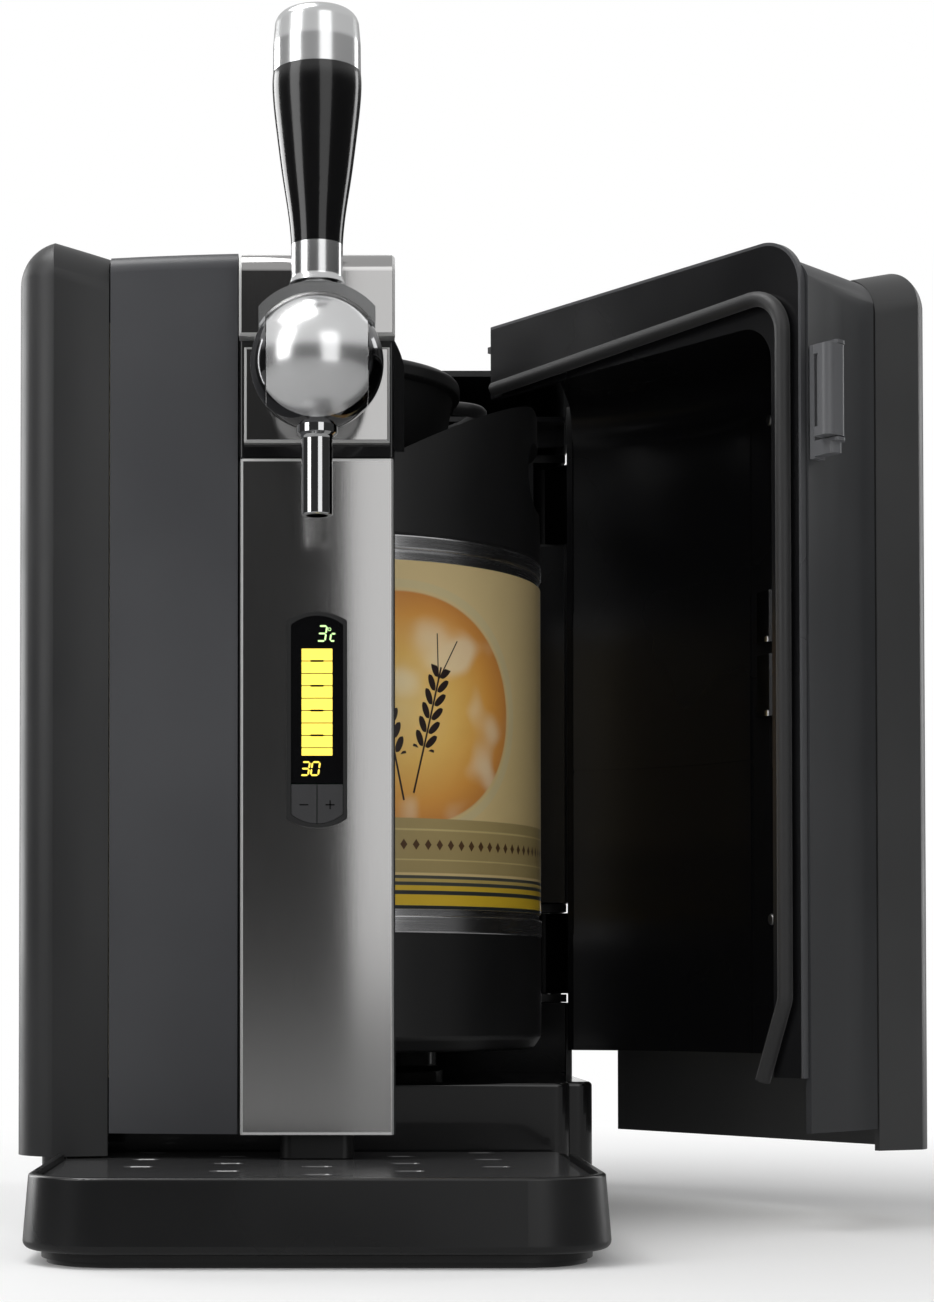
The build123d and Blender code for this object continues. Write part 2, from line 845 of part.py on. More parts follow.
save("column_panel", make_column_panel())
save("column_core", make_column_core())

button_z = display_bottom + 11.1
bezel_front = column_front - 1.4
save("display_rim", display_prism(0, bezel_front, core_front) - display_prism(display_rim, -200, 0))
glass_band = block((-50, 50), everywhere, (button_top + button_gap, body_top))
save("display_glass", display_prism(display_rim, column_front - 0.7, core_front + 0.4) & glass_band)


def make_display_board():
    """Board that carries the liquid crystal panel, with a switch under each button."""
    board_front = core_front + 3
    board = display_prism(0.5, board_front, board_front + 1.6)
    board += display_prism(display_rim + 0.6, core_front + 0.4, board_front) & glass_band
    for x in (-button_x, button_x):
        board += rod_y(x, button_z, 2.2, core_front + 1.6, board_front)
    return board


save("display_board", make_display_board())


def make_button(side):
    """Half of the key pair under the display, with a stem over its switch."""
    half = display_half_width - display_rim - 0.2
    span = (0.2, half) if side > 0 else (-half, -0.2)
    key = display_prism(display_rim + 0.2, column_front - 1.1, core_front + 0.2)
    key &= block(span, everywhere, (0, button_top))
    stem = rod_y(side * button_x, button_z, 1.5, core_front + 0.1, core_front + 1.6 - button_travel)
    return key + stem


save("minus_button", make_button(-1))
save("plus_button", make_button(1))

# ---------------------------------------------------------------- tap


gasket_radius = 3.3
gasket_y = -113.0
gasket_slant = 13.0
gasket_x = door_seam_x - gasket_radius
gasket_top = chamber_ceiling + 12.0
shank_room = shank_radius + 0.05


def make_flare():
    """Slanted strip on the housing's right side, which closes the gap in front of the door's frame."""
    outline = [
        (housing_half_width - 2, column_front + 1.6),
        (housing_half_width, column_front + 1.6),
        (housing_half_width + housing_flare, flare_back),
        (housing_half_width - 2, flare_back),
    ]
    strip = prism_z(outline, column_top + 4, housing_top)
    right = housing_half_width + housing_flare
    bow = [
        (0, column_top + 4),
        (right, column_top + 4),
        (right, housing_top + 6, 30),
        (housing_half_width - 3, housing_top),
        (0, housing_top),
    ]
    return strip & prism_y(bow, *everywhere)


def make_tap_housing():
    """Black block behind the bright covers, running back over the chamber."""
    side = housing_half_width
    front = block((-side, side), (column_front, -104), (column_top + 0.6, housing_top))
    front = fillet(front.edges().filter_by(Axis.Z).group_by(Axis.Y)[0], 1.5)
    top_edge = front.edges().filter_by(Axis.X).group_by(Axis.Z)[-1].sort_by(Axis.Y)[0]
    front = fillet(top_edge, 4.0)
    front += make_flare()
    front -= chamber_plan(chamber_outside, 0, chamber_ceiling + liner_wall)
    rear = block((-side, side), (-104, housing_back), (chamber_ceiling + liner_wall, housing_top))
    housing = front + rear
    housing -= rod_y(0, tap_z, shank_room, column_front - 1, -120)
    seal_x = gasket_x - gasket_radius - 0.5
    seal_front = gasket_y - gasket_radius - 3.0
    seal_top = gasket_top + gasket_radius + 0.8
    housing -= block((seal_x, side + 1), (seal_front, housing_back + 1), (chamber_ceiling, seal_top))
    return housing - line_hole(beer_line_radius + 0.3)


housing_top = upper_cover[1] + 1.7
save("tap_housing", make_tap_housing())


def cover(half, span, front, chamfer_size):
    """Bright cover plate: a shallow tray with chamfered front edges."""
    plate = block((-half, half), (front, column_front), span)
    face = plate.faces().sort_by(Axis.Y)[0]
    return chamfer(face.edges(), chamfer_size)


lower = cover(lower_cover_half, lower_cover, lower_cover_front, 1.2)
save("tap_lower_cover", lower - rod_y(0, tap_z, shank_room, -200, 0))


def make_upper_cover():
    """Upper cover, rolled back at the top and hollow behind, that lifts off to lay the beer line in."""
    low, high = upper_cover
    half = upper_cover_half
    back = column_front - 0.3
    profile = [(upper_cover_front, low + 0.2), (upper_cover_front, high, cover_roll), (back, high), (back, low + 0.2)]
    plate = prism_x(profile, -half, half)
    sides = plate.edges().filter_by(Axis.Z).group_by(Axis.Y)[0]
    foot = plate.edges().filter_by(Axis.X).group_by(Axis.Z)[0].sort_by(Axis.Y)[0]
    plate = chamfer([*sides, foot], 1.2)
    skin = 2.2
    room = [
        (upper_cover_front + skin, low + skin),
        (upper_cover_front + skin, high - skin, cover_roll - skin),
        (back + 1, high - skin),
        (back + 1, low + skin),
    ]
    return plate - prism_x(room, -half + skin, half - skin)


save("tap_upper_cover", make_upper_cover())


def make_tap_ball():
    """Ball with its shank, bored for the pivot pin, the beer and the spout."""
    ball = Pos(0, tap_y, tap_z) * Sphere(ball_radius)
    ball &= block((-ball_band, ball_band), everywhere, everywhere)
    ball += rod_y(0, tap_z, shank_radius, tap_y, -121)
    ball -= rod_x(tap_y, tap_z, tap_pin_radius + tap_running_gap, -60, 60)
    ball -= rod_z(0, tap_y, spout_bore, spout_bottom, tap_z - 8)
    ball -= rod_y(0, tap_z, beer_line_radius + 0.1, tap_y + 10, -100)
    ball -= rod_z(0, tap_y + 13, beer_line_radius, tap_z - 16, tap_z)
    ball -= rod_y(0, tap_z - 14, beer_line_radius, tap_y, tap_y + 13)
    return ball - line_hole(beer_line_radius + 0.3)


save("tap_ball", make_tap_ball())


def make_spout():
    """Spout: a collar against the ball and a straight tube."""
    lip_top = tap_z - math.sqrt(ball_radius**2 - spout_lip_radius**2)
    spout = turned(
        [
            (spout_bore, spout_bottom),
            (spout_radius, spout_bottom, 0.6),
            (spout_radius, spout_collar_bottom - 1.5, 2),
            (spout_lip_radius, spout_collar_bottom),
            (spout_lip_radius, lip_top + 3),
            (spout_bore, lip_top + 3),
        ]
    )
    return Pos(0, tap_y, 0) * spout - Pos(0, tap_y, tap_z) * Sphere(ball_radius)


save("tap_spout", make_spout())


def make_caps():
    """Round end caps of the ball, which turn with the lever."""
    near = ball_band + 0.4
    floor = ball_band + 3.4
    half_angle = math.acos(near / ball_radius) / 2
    rim = (near, 0, math.sqrt(ball_radius**2 - near**2))
    middle = (ball_radius * math.cos(half_angle), 0, ball_radius * math.sin(half_angle))
    edges = [
        Line((near, 0, tap_pin_radius), rim),
        ThreePointArc(rim, middle, (ball_radius, 0, 0)),
        Line((ball_radius, 0, 0), (floor, 0, 0)),
        Line((floor, 0, 0), (floor, 0, tap_pin_radius)),
        Line((floor, 0, tap_pin_radius), (near, 0, tap_pin_radius)),
    ]
    cap = revolve(make_face(Curve() + edges), axis=Axis.X)
    place = Pos(0, tap_y, tap_z)
    return Compound(children=[place * cap, place * Rot(0, 180, 0) * cap])


save("ball_caps", make_caps())
save("lever_pin", rod_x(tap_y, tap_z, tap_pin_radius, -ball_band - 3.3, ball_band + 3.3))


def make_yoke():
    """Strap bent over the ball, cut off upright at its ends, which join the lever to the end caps."""
    inner = ball_radius + yoke_gap
    outer = inner + yoke_thickness
    half = yoke_half_width
    ends = ball_radius * 0.52
    strap = Sphere(outer) - Sphere(inner)
    strap &= block((-half, half), (-yoke_half_depth, yoke_half_depth), (ends, 2 * outer))
    for side in (-1, 1):
        span = sorted((side * (ball_band + 0.6), side * half))
        pad = block(span, (-5, 5), (ends - 5, outer)) & Sphere(outer)
        strap += pad - Sphere(ball_radius)
    neck = outer - 2
    stub = Pos(0, 0, neck) * Cylinder(7.5, ferrule_rise - neck, align=(Align.CENTER, Align.CENTER, Align.MIN))
    return Pos(0, tap_y, tap_z) * (strap + (stub - Sphere(inner)))


save("lever_yoke", make_yoke())


def on_lever(shape):
    return Pos(0, tap_y, 0) * shape


def make_ferrule():
    """Bright sleeve at the foot of the grip, flared where it meets the yoke."""
    outline = [
        (0, ferrule_bottom),
        (ferrule_radius + 0.9, ferrule_bottom),
        (ferrule_radius, ferrule_bottom + 2.4, 3),
        (ferrule_radius, ferrule_top),
        (0, ferrule_top),
    ]
    return turned(outline) - Pos(0, 0, tap_z) * Sphere(ball_radius + yoke_gap + yoke_thickness)


save("lever_ferrule", on_lever(make_ferrule()))
grip_mouth = 18.3
grip_points = [(12.0, 13.5), (14.1, 27.0), (16.7, 46.8), (18.4, 63.0), (18.55, 68.0)]


def make_grip():
    """Turned grip that swells towards the top."""
    side = [(radius, 0, ferrule_top + up) for radius, up in grip_points]
    foot = (ferrule_radius, 0, ferrule_top)
    mouth = (grip_mouth, 0, grip_top)
    edges = [
        Spline(foot, *side, mouth),
        Line(mouth, (0, 0, grip_top)),
        Line((0, 0, grip_top), (0, 0, ferrule_top)),
        Line((0, 0, ferrule_top), foot),
    ]
    return revolve(make_face(Curve() + edges), axis=Axis.Z)


def make_cap():
    """Bright cap with a domed top and a small dimple."""
    outline = [
        (0, grip_top),
        (grip_mouth, grip_top),
        (grip_mouth - 0.1, grip_top + 12, 20),
        (grip_mouth - 1.2, handle_top - 1.5, 6),
        (0, handle_top),
    ]
    return turned(outline) - Pos(0, 0, handle_top + 7.2) * Sphere(8.5)


save("handle_grip", on_lever(make_grip()))
save("handle_cap", on_lever(make_cap()))
line_route = [(0, -114.6, line_z), (0, -118, line_z), (0, -131, tap_z), (0, tap_y + 12, tap_z)]
save("beer_line", hose(line_route, beer_line_radius - 0.1, [4, 4]))

# ---------------------------------------------------------------- door (modelled shut, then swung open)

flange_top = body_top + 8.5
flange_depth = 3.0
flange_back = 80.0
frame_edge_y = -103.5
frame_front = -120.5
frame_bottom = door_liner_bottom - 8.0
latch_z = (body_top - 82.5, body_top - 43.0)
latch_pivot = (41.2, -133.4)
latch_pin_radius = 1.5
latch_gap = 0.6
clip_spans = [(269.3, 294.0), (234.1, 263.6)]
clip_angles = (-22.5, -14.5)
clip_depth = 3.6
liner_screws = [(-20.5, chamber_ceiling - 22.0), (-20.5, door_liner_bottom + 63.6)]
strip_angles = (-38.0, -11.5)
end_turn = math.radians(liner_end_angle)
liner_end = (chamber_radius * math.cos(end_turn), chamber_radius * math.sin(end_turn))


def make_door_wing():
    """Outer cover of the door: cheek, side and rounded top edge, the left cover's mirror image."""
    return left_cover.mirror(Plane.YZ)


def make_door_panel():
    """Grey shell of the door: curved front and flat top."""
    span = (door_seam_x + flange_depth, panel_edge_x - part_line)
    return front_panel(*span) + top_plate(*span)


def make_door_frame():
    """Edge frame of the door: a band down the front and a raised flange along the top."""
    outline = [
        (frame_front, frame_bottom),
        (frame_front, flange_top, 15),
        (flange_back, flange_top),
        (flange_back, chamber_ceiling),
        (frame_edge_y, chamber_ceiling, 17),
        (frame_edge_y, frame_bottom),
    ]
    return prism_x(outline, door_seam_x, door_seam_x + flange_depth)


liner_radius = chamber_radius + 1.0
liner_outside = liner_radius + liner_wall
end_wall = [
    liner_end,
    (half_width - wall, liner_end[1] + 7.5),
    (half_width - wall, liner_end[1] + 10),
    (liner_end[0] - 1, liner_end[1] + 3),
]


def make_door_liner():
    """Moulded inner wall round the keg, with faint steps, a domed top and a flat end by the hinge."""
    low = door_liner_bottom
    bead = low + 140.0
    steps = [
        (chamber_radius, low),
        (chamber_radius, low + 58.4),
        (chamber_radius + 0.5, low + 58.4),
        (chamber_radius + 0.5, bead - 1),
        (liner_radius, bead - 1),
        (liner_radius, bead + 1),
        (chamber_radius + 0.5, bead + 1),
        (chamber_radius + 0.5, low + 220),
        (liner_radius, low + 220),
        (liner_radius, chamber_ceiling, 20),
        (0, chamber_ceiling),
        (0, chamber_ceiling + liner_wall),
        (liner_outside, chamber_ceiling + liner_wall, 22),
        (liner_outside, low),
    ]
    liner = turned(steps)
    liner &= sector(-90, liner_end_angle, 4 * chamber_radius, 0, body_top)
    liner &= block((door_seam_x + flange_depth, half_width), everywhere, everywhere)
    liner -= make_strip_room()
    for angle, z in liner_screws:
        liner -= Rot(0, 0, angle) * rod_x(0, z, 1.6, chamber_radius - 5, liner_outside + 5)
    return liner + prism_z(end_wall, low, chamber_ceiling + liner_wall)


def make_strip_room():
    """Shallow upright recess in the liner, for the clips and the screws."""
    ring = rod_z(0, 0, liner_radius + 0.5, door_liner_bottom - 1, chamber_ceiling - 18)
    strip = ring & sector(*strip_angles, 4 * chamber_radius, 0, body_top)
    return strip - rod_z(0, 0, chamber_radius - 5, 0, body_top)


def make_door_foam():
    """Foam between the door's liner and its covers."""
    foam = body_plan(door_liner_bottom + 2, chamber_ceiling - 3, wall + 0.3)
    foam &= block((door_seam_x + flange_depth + 0.3, half_width), (-half_width, liner_end[1] - 1), everywhere)
    foam -= rod_z(0, 0, liner_outside + 0.3, 0, body_top)
    for angle, z in liner_screws:
        foam -= Rot(0, 0, angle) * rod_x(0, z, 2.0, chamber_radius, liner_outside + 8)
    return foam


def make_gasket():
    """Round rubber seal: along the top, down the front and cut off on a slant at the foot."""
    x = gasket_x
    foot = frame_bottom - 1.5
    route = [
        (x, 74, chamber_ceiling + 3.5),
        (x, gasket_y, gasket_top),
        (x, gasket_y, foot + 35.5),
        (x, gasket_y + gasket_slant, foot),
    ]
    return hose(route, gasket_radius, [18, 9])


def make_clips():
    """Two bright leaf springs in the liner's recess, bowed towards the keg and bent over at the foot."""
    floor = liner_radius + 0.5
    crown = floor - clip_depth
    clips = []
    for low, high in clip_spans:
        first, last = (math.radians(angle) for angle in clip_angles)
        middle = (first + last) / 2
        corner_span = (last - first) * 0.3
        outline = [
            (floor * math.cos(first), floor * math.sin(first)),
            (crown * math.cos(middle - corner_span), crown * math.sin(middle - corner_span), 3),
            (crown * math.cos(middle + corner_span), crown * math.sin(middle + corner_span), 1.5),
            (floor * math.cos(last), floor * math.sin(last)),
        ]
        leaf = prism_z(outline, low, high)
        leaf -= rod_z(0, 0, crown + 1.2, low + 2.5, high + 1) - rod_z(0, 0, crown - 4, low, high + 2)
        clips.append(leaf)
    return Compound(children=clips)


def make_door_screws():
    """Pan-head screws that hold the liner."""
    screws = []
    floor = liner_radius + 0.5
    for angle, z in liner_screws:
        head = rod_x(0, z, 2.6, floor - 1.6, floor - 0.05)
        head = fillet(head.edges().group_by(Axis.X)[0], 0.8)
        shank = rod_x(0, z, 1.5, floor - 0.05, liner_outside + 2)
        screws.append(Rot(0, 0, angle) * (head + shank))
    return Compound(children=screws)


def make_latch_base():
    """Bracket on the front panel with two lugs for the latch's pivot."""
    low, high = latch_z
    face_y = column_front + 5.6
    x, y = latch_pivot
    left = housing_half_width + housing_flare + latch_gap
    right = x + 4.5
    plate = block((left, right), (face_y - 2.6, face_y), (low - 8, high + 2))
    for z in (low - 2, high + 0.4):
        lug = [(left, y - 4.2, 1.5), (right, y - 4.2, 3), (right, face_y), (left, face_y)]
        plate += prism_z(lug, z, z + 1.6)
    hook = [(left, y - 1, 1.5), (right - 1, y - 3.4, 2), (right - 1, face_y), (left, face_y)]
    plate += prism_z(hook, low - 7, low - 2)
    return plate + rod_z(x, y, latch_pin_radius, low - 2, high + 2)


def make_latch():
    """Finger latch: a rounded barrel that pulls out at its free edge."""
    low, high = latch_z
    x, y = latch_pivot
    left = x - 8.4
    right = x + 3.6
    outline = [(left, y - 4.6, 4), (right, y - 4.6, 3.2), (right, y + 4.3, 3), (left, y + 4.3, 1)]
    barrel = prism_z(outline, low, high)
    barrel -= rod_z(x, y, latch_pin_radius + 0.07, low - 1, high + 1)
    return barrel - block((left - 4, left + 3), (y + 1.4, y + 9), (low + 4, high - 4))


def hinge_height(pocket):
    return pocket[0] + hinge_play, pocket[1] - hinge_play


def make_hinge_brackets():
    """Fixed ears above and below each door arm, joined by a back plate on the chamber's wall."""
    brackets = []
    for pocket in hinge_pockets:
        low, high = hinge_height(pocket)
        plate_x = chamber_radius - 8
        side_x = half_width - hinge_play
        front = hinge_y - 22.4
        bracket = block((plate_x, plate_x + 4), (front, hinge_y + 8), (low, high))
        for z in (low, high - hinge_ear):
            ear = [(plate_x, front), (side_x, front), (side_x, hinge_y + 7, 5), (plate_x, hinge_y + 8)]
            bracket += prism_z(ear, z, z + hinge_ear)
        brackets.append(bracket - rod_z(hinge_x, hinge_y, hinge_pin_radius, low - 1, high + 1))
    return Compound(children=brackets)


def make_hinge_pins():
    spans = [hinge_height(pocket) for pocket in hinge_pockets]
    return Compound(children=[rod_z(hinge_x, hinge_y, hinge_pin_radius, *span) for span in spans])


def make_hinge_arms():
    """Door arms: a barrel on the pin, a neck and a leaf on the liner's end wall."""
    arms = []
    for pocket in hinge_pockets:
        low, high = hinge_height(pocket)
        low, high = low + hinge_ear + hinge_gap, high - hinge_ear - hinge_gap
        arm = rod_z(hinge_x, hinge_y, hinge_barrel_radius, low, high)
        arm += block((hinge_x - 4, hinge_x + 4), (liner_end[1] + 10.2, hinge_y), (low, high))
        leaf_y = liner_end[1]
        left = half_width - wall - 26
        right = half_width - wall - 1.5
        back_y = leaf_y + 13
        plan = [(left, leaf_y + 8.4), (right, leaf_y + 9.95), (right, back_y), (left, back_y)]
        leaf = prism_z(plan, low, high)
        leaf -= prism_z(end_wall, 0, body_top)
        arm += leaf
        arms.append(arm - rod_z(hinge_x, hinge_y, hinge_pin_radius + hinge_running_gap, low - 1, high + 1))
    return Compound(children=arms)


save("door_wing", swing(make_door_wing()))
save("door_panel", swing(make_door_panel()))
save("door_frame", swing(make_door_frame()))
save("door_liner", swing(make_door_liner()))
save("door_foam", swing(make_door_foam()))
save("door_gasket", swing(make_gasket()))
save("door_clips", swing(make_clips()))
save("door_screws", swing(make_door_screws()))
save("latch_base", swing(make_latch_base()))
save("door_latch", swing(make_latch()))
save("hinge_arms", swing(make_hinge_arms()))
save("hinge_brackets", make_hinge_brackets())
save("hinge_pins", make_hinge_pins())

# ---------------------------------------------------------------- keg


keg_body = keg_radius - band_step


def vessel_outline(inset):
    """Outline of the steel vessel: a sunken foot, a straight wall and a domed shoulder."""
    low = keg_bottom + 14 + inset
    heel = keg_bottom + 6 + inset
    return [
        (0, low),
        (keg_radius - 22, low, 6 - inset),
        (keg_radius - 14 - inset / 3, heel, 4 - inset),
        (keg_body - inset, ring_low_bottom - 24 + inset / 2, 16 - inset),
        (keg_body - inset, ring_high_top + 2 - inset, 14 - inset),
        (keg_radius - 28, ring_high_top + 12 - inset, 20 - inset),
        (0, ring_high_top + 14 - inset),
    ]


def make_sleeve():
    """Printed wrap round the keg."""
    return rod_z(0, 0, keg_radius, sleeve_bottom, sleeve_top) - rod_z(0, 0, keg_body, 0, body_top)


def make_keg_rings():
    """Bright rolled bands above and below the wrap."""
    rings = []
    edge = keg_radius + 0.4
    for low, high in ((ring_low_bottom, ring_low_top), (ring_high_bottom, ring_high_top)):
        rings.append(turned([(keg_body, low), (edge, low, 1.0), (edge, high, 1.0), (keg_body, high)]))
    return Compound(children=rings)


def make_collar():
    """Upper plastic collar: high at the sides with finger holes, dipped at front and back."""
    inner = keg_radius - collar_wall
    rise = math.tan(math.radians(collar_slope))
    collar = turned(
        [
            (inner - 14, ring_high_top + 9),
            (inner - 4, ring_high_top + 6, 3),
            (keg_body, ring_high_top),
            (keg_radius + 0.2, ring_high_top + 1),
            (keg_radius - 1.5, collar_top, 2),
            (inner, collar_top, 2),
            (inner - 1, ring_high_top + 12, 4),
            (inner - 14, ring_high_top + 13),
        ]
    )
    reach = (collar_top + 30 - collar_dip) / rise
    dip = [(0, collar_dip, 40), (reach, collar_top + 30), (-reach, collar_top + 30)]
    collar -= prism_y(dip, *everywhere)
    low = ring_high_top + 24.2
    high = ring_high_top + 56.2
    hole = [(-42, low, 15), (42, low, 15), (38, high, 15), (-38, high, 15)]
    collar -= prism_x(hole, -2 * keg_radius, 2 * keg_radius)
    return collar - turned([(0, ring_high_top - 5), (keg_body, ring_high_top - 5), *vessel_outline(0)[-3:]])


def make_keg_foot():
    """Lower plastic cup that the keg stands on, with a floor that is open in the middle."""
    floor = keg_bottom + 3
    cup = turned(
        [
            (foot_opening, keg_bottom),
            (keg_radius - 4, keg_bottom, 3),
            (keg_radius, keg_bottom + 6, 4),
            (keg_radius, ring_low_bottom),
            (keg_body, ring_low_bottom),
            (keg_body, ring_low_bottom - 24, 16),
            (keg_radius - 14, keg_bottom + 6, 4),
            (keg_radius - 22, keg_bottom + 12),
            (keg_radius - 25, keg_bottom + 12),
            (keg_radius - 26, floor),
            (foot_opening, floor),
        ]
    )
    vessel = turned([*vessel_outline(0)[:4], (keg_body, sleeve_top), (0, sleeve_top)])
    return cup - vessel


def make_coupler():
    """Round cap over the keg's valve, open below, with a stem down to the shoulder."""
    skirt = coupler_top - coupler_skirt_depth
    under = coupler_top - cap_wall
    stem = coupler_stem
    cap = turned(
        [
            (0, ring_high_top + 14),
            (stem, ring_high_top + 14),
            (stem, skirt),
            (coupler_radius - 6, skirt, 8),
            (coupler_radius, coupler_rim - 1),
            (coupler_rim_radius, coupler_rim, 1),
            (coupler_rim_radius, coupler_top, 3),
            (0, coupler_top),
        ]
    )
    room = turned(
        [
            (stem, skirt - 1),
            (coupler_radius - 6 - cap_wall, skirt - 1),
            (coupler_radius - 6 - cap_wall, skirt + 8),
            (coupler_radius - cap_wall, coupler_rim - 1),
            (coupler_radius - cap_wall, under, 2),
            (stem, under, 2),
        ]
    )
    return cap - room


def make_keg_hoses():
    """Beer outlet towards the tap and air inlet towards the rear, both ending just short of the walls."""
    way = math.radians(keg_way)
    front_gap = -chamber_radius / math.cos(way) + 0.9
    outlet = hose([(0, -58, line_z - 1.5), (0, -90, line_z), (0, front_gap, line_z)], 3.0, [60])
    end_x = 54.0
    back_gap = chamber_radius / math.cos(way) - end_x * math.tan(-way) - 4.3
    inlet_route = [(58, 16, hose_z), (83, 28, hose_z), (74, 62, hose_z), (end_x, back_gap, hose_z)]
    inlet = hose(inlet_route, 3.4, [13, 13])
    cap = rod_z(0, 0, coupler_rim_radius, ring_high_top, coupler_top)
    return Compound(children=[outlet - cap, inlet - cap])


save("keg_shell", turned(vessel_outline(0)) - turned(vessel_outline(steel_wall)))
save("keg_sleeve", make_sleeve())
save("keg_rings", make_keg_rings())
save("keg_collar", make_collar())
save("keg_foot", make_keg_foot())
save("keg_coupler", make_coupler())
save("keg_hoses", make_keg_hoses())
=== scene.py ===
# %% [markdown]
# # A home dispenser for small kegs
#
# The dispenser is a dark cabinet with a bright tap column in front and a side door that stands open on
# its keg. The CAD model already holds every part at its real size. This lesson loads it as a fixed frame,
# gives each part the finish of the real material, rolls the corners of the covers, and adds the small
# things that CAD leaves out: the lit figures of the display and the signs on the keys.
#
# The finished model has to stay inside it. Blender counts in metres, and `MM` turns the lesson's
# millimetres into them.

# %% Load the frame
import json
import math

import bpy
from mathutils import Matrix, Vector


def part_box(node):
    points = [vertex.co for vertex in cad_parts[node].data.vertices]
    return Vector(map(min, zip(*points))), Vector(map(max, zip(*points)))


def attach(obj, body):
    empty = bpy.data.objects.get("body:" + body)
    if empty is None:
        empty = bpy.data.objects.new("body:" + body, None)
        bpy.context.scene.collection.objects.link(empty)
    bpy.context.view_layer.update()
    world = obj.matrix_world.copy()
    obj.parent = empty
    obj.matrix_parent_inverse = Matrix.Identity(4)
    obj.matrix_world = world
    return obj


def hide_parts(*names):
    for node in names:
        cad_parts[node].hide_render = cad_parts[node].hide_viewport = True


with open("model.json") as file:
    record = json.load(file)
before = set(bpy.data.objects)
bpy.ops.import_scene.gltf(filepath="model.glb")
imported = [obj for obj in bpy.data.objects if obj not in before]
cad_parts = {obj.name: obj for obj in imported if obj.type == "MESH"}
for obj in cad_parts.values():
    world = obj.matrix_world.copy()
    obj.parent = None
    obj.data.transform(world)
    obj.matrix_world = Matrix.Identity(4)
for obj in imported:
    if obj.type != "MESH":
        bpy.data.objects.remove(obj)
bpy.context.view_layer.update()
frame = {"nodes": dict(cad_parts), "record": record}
nodes = frame["nodes"]
MM = 0.001
print("parts in the frame:", len(nodes))

# %% [markdown]
# ## The camera
#
# The view is from table height, a little over a metre in front of the tap, with a long lens. The camera
# looks up by a little over a degree, and the lens is shifted so that the dispenser fills the frame
# without leaning. `PIXELS` is the size of the finished picture, and the lens is worked out from the
# distance between the eye and the picture plane, counted in the same pixels.

# %% Camera
PIXELS = (934, 1302)
EYE = (0.0, -1.208, 0.1034)
EYE_TILT = math.radians(1.375)
PLANE_DISTANCE = 2527.0
VANISHING_POINT = (317.0, 931.0)

camera_data = bpy.data.cameras.new("camera")
camera_data.sensor_width = 36.0
camera_data.lens = PLANE_DISTANCE / PIXELS[1] * camera_data.sensor_width
camera_data.shift_x = (PIXELS[0] / 2 - VANISHING_POINT[0]) / PIXELS[1]
camera_data.shift_y = (VANISHING_POINT[1] - PIXELS[1] / 2) / PIXELS[1]
camera_data.clip_start = 0.05
camera = bpy.data.objects.new("camera", camera_data)
camera.location = EYE
camera.rotation_euler = (math.radians(90) + EYE_TILT, 0.0, 0.0)
bpy.context.scene.collection.objects.link(camera)
bpy.context.scene.camera = camera
bpy.context.scene.view_settings.view_transform = "Standard"
print("lens:", round(camera_data.lens, 1), "mm")

# %% [markdown]
# ## Arithmetic on shader sockets
#
# A finish is a small sum: a base value, plus a little grain, times a mask. Written with plus and times
# it's easy to read, so `Wire` wraps one socket and turns each sign into a Math node. The forms that
# start with an r are for a number on the left, as in `1 - mask`.

# %% Wires
class Wire:
    """One output of a node, which can be added, multiplied and compared."""

    def __init__(self, owner, socket):
        self.owner = owner
        self.socket = socket

    def maths(self, operation, *others):
        return self.owner.maths(operation, self, *others)

    def __add__(self, other):
        return self.maths("ADD", other)

    __radd__ = __add__

    def __sub__(self, other):
        return self.maths("SUBTRACT", other)

    def __rsub__(self, other):
        return self.owner.maths("SUBTRACT", other, self)

    def __mul__(self, other):
        return self.maths("MULTIPLY", other)

    __rmul__ = __mul__

    def __truediv__(self, other):
        return self.maths("DIVIDE", other)

    def __rtruediv__(self, other):
        return self.owner.maths("DIVIDE", other, self)

    def __pow__(self, other):
        return self.maths("POWER", other)

    def __neg__(self):
        return self * -1.0

    def __abs__(self):
        return self.maths("ABSOLUTE")

    def larger(self, other):
        return self.maths("MAXIMUM", other)

    def below(self, edge, softness):
        """1 where this is under the edge, 0 where it's over it, with a soft step between."""
        return self.owner.step(self, edge - softness, edge + softness, 1.0, 0.0)

    def above(self, edge, softness):
        """1 where this is over the edge, 0 where it's under it, with a soft step between."""
        return self.owner.step(self, edge - softness, edge + softness, 0.0, 1.0)


print("signs of a wire: + - * / ** and abs")

# %% [markdown]
# ## Node trees from Python
#
# Every node is added in the same way: its settings come first, then the values or wires of its sockets,
# by their order or by name. `NodeTree` has one method for that and builds the others on it. A Mix node
# keeps its two colours behind the sockets for numbers and vectors, so those are skipped.

# %% Node trees
NUMBERS_AND_VECTORS = (None,) * 5
MIXED_COLOUR = 2


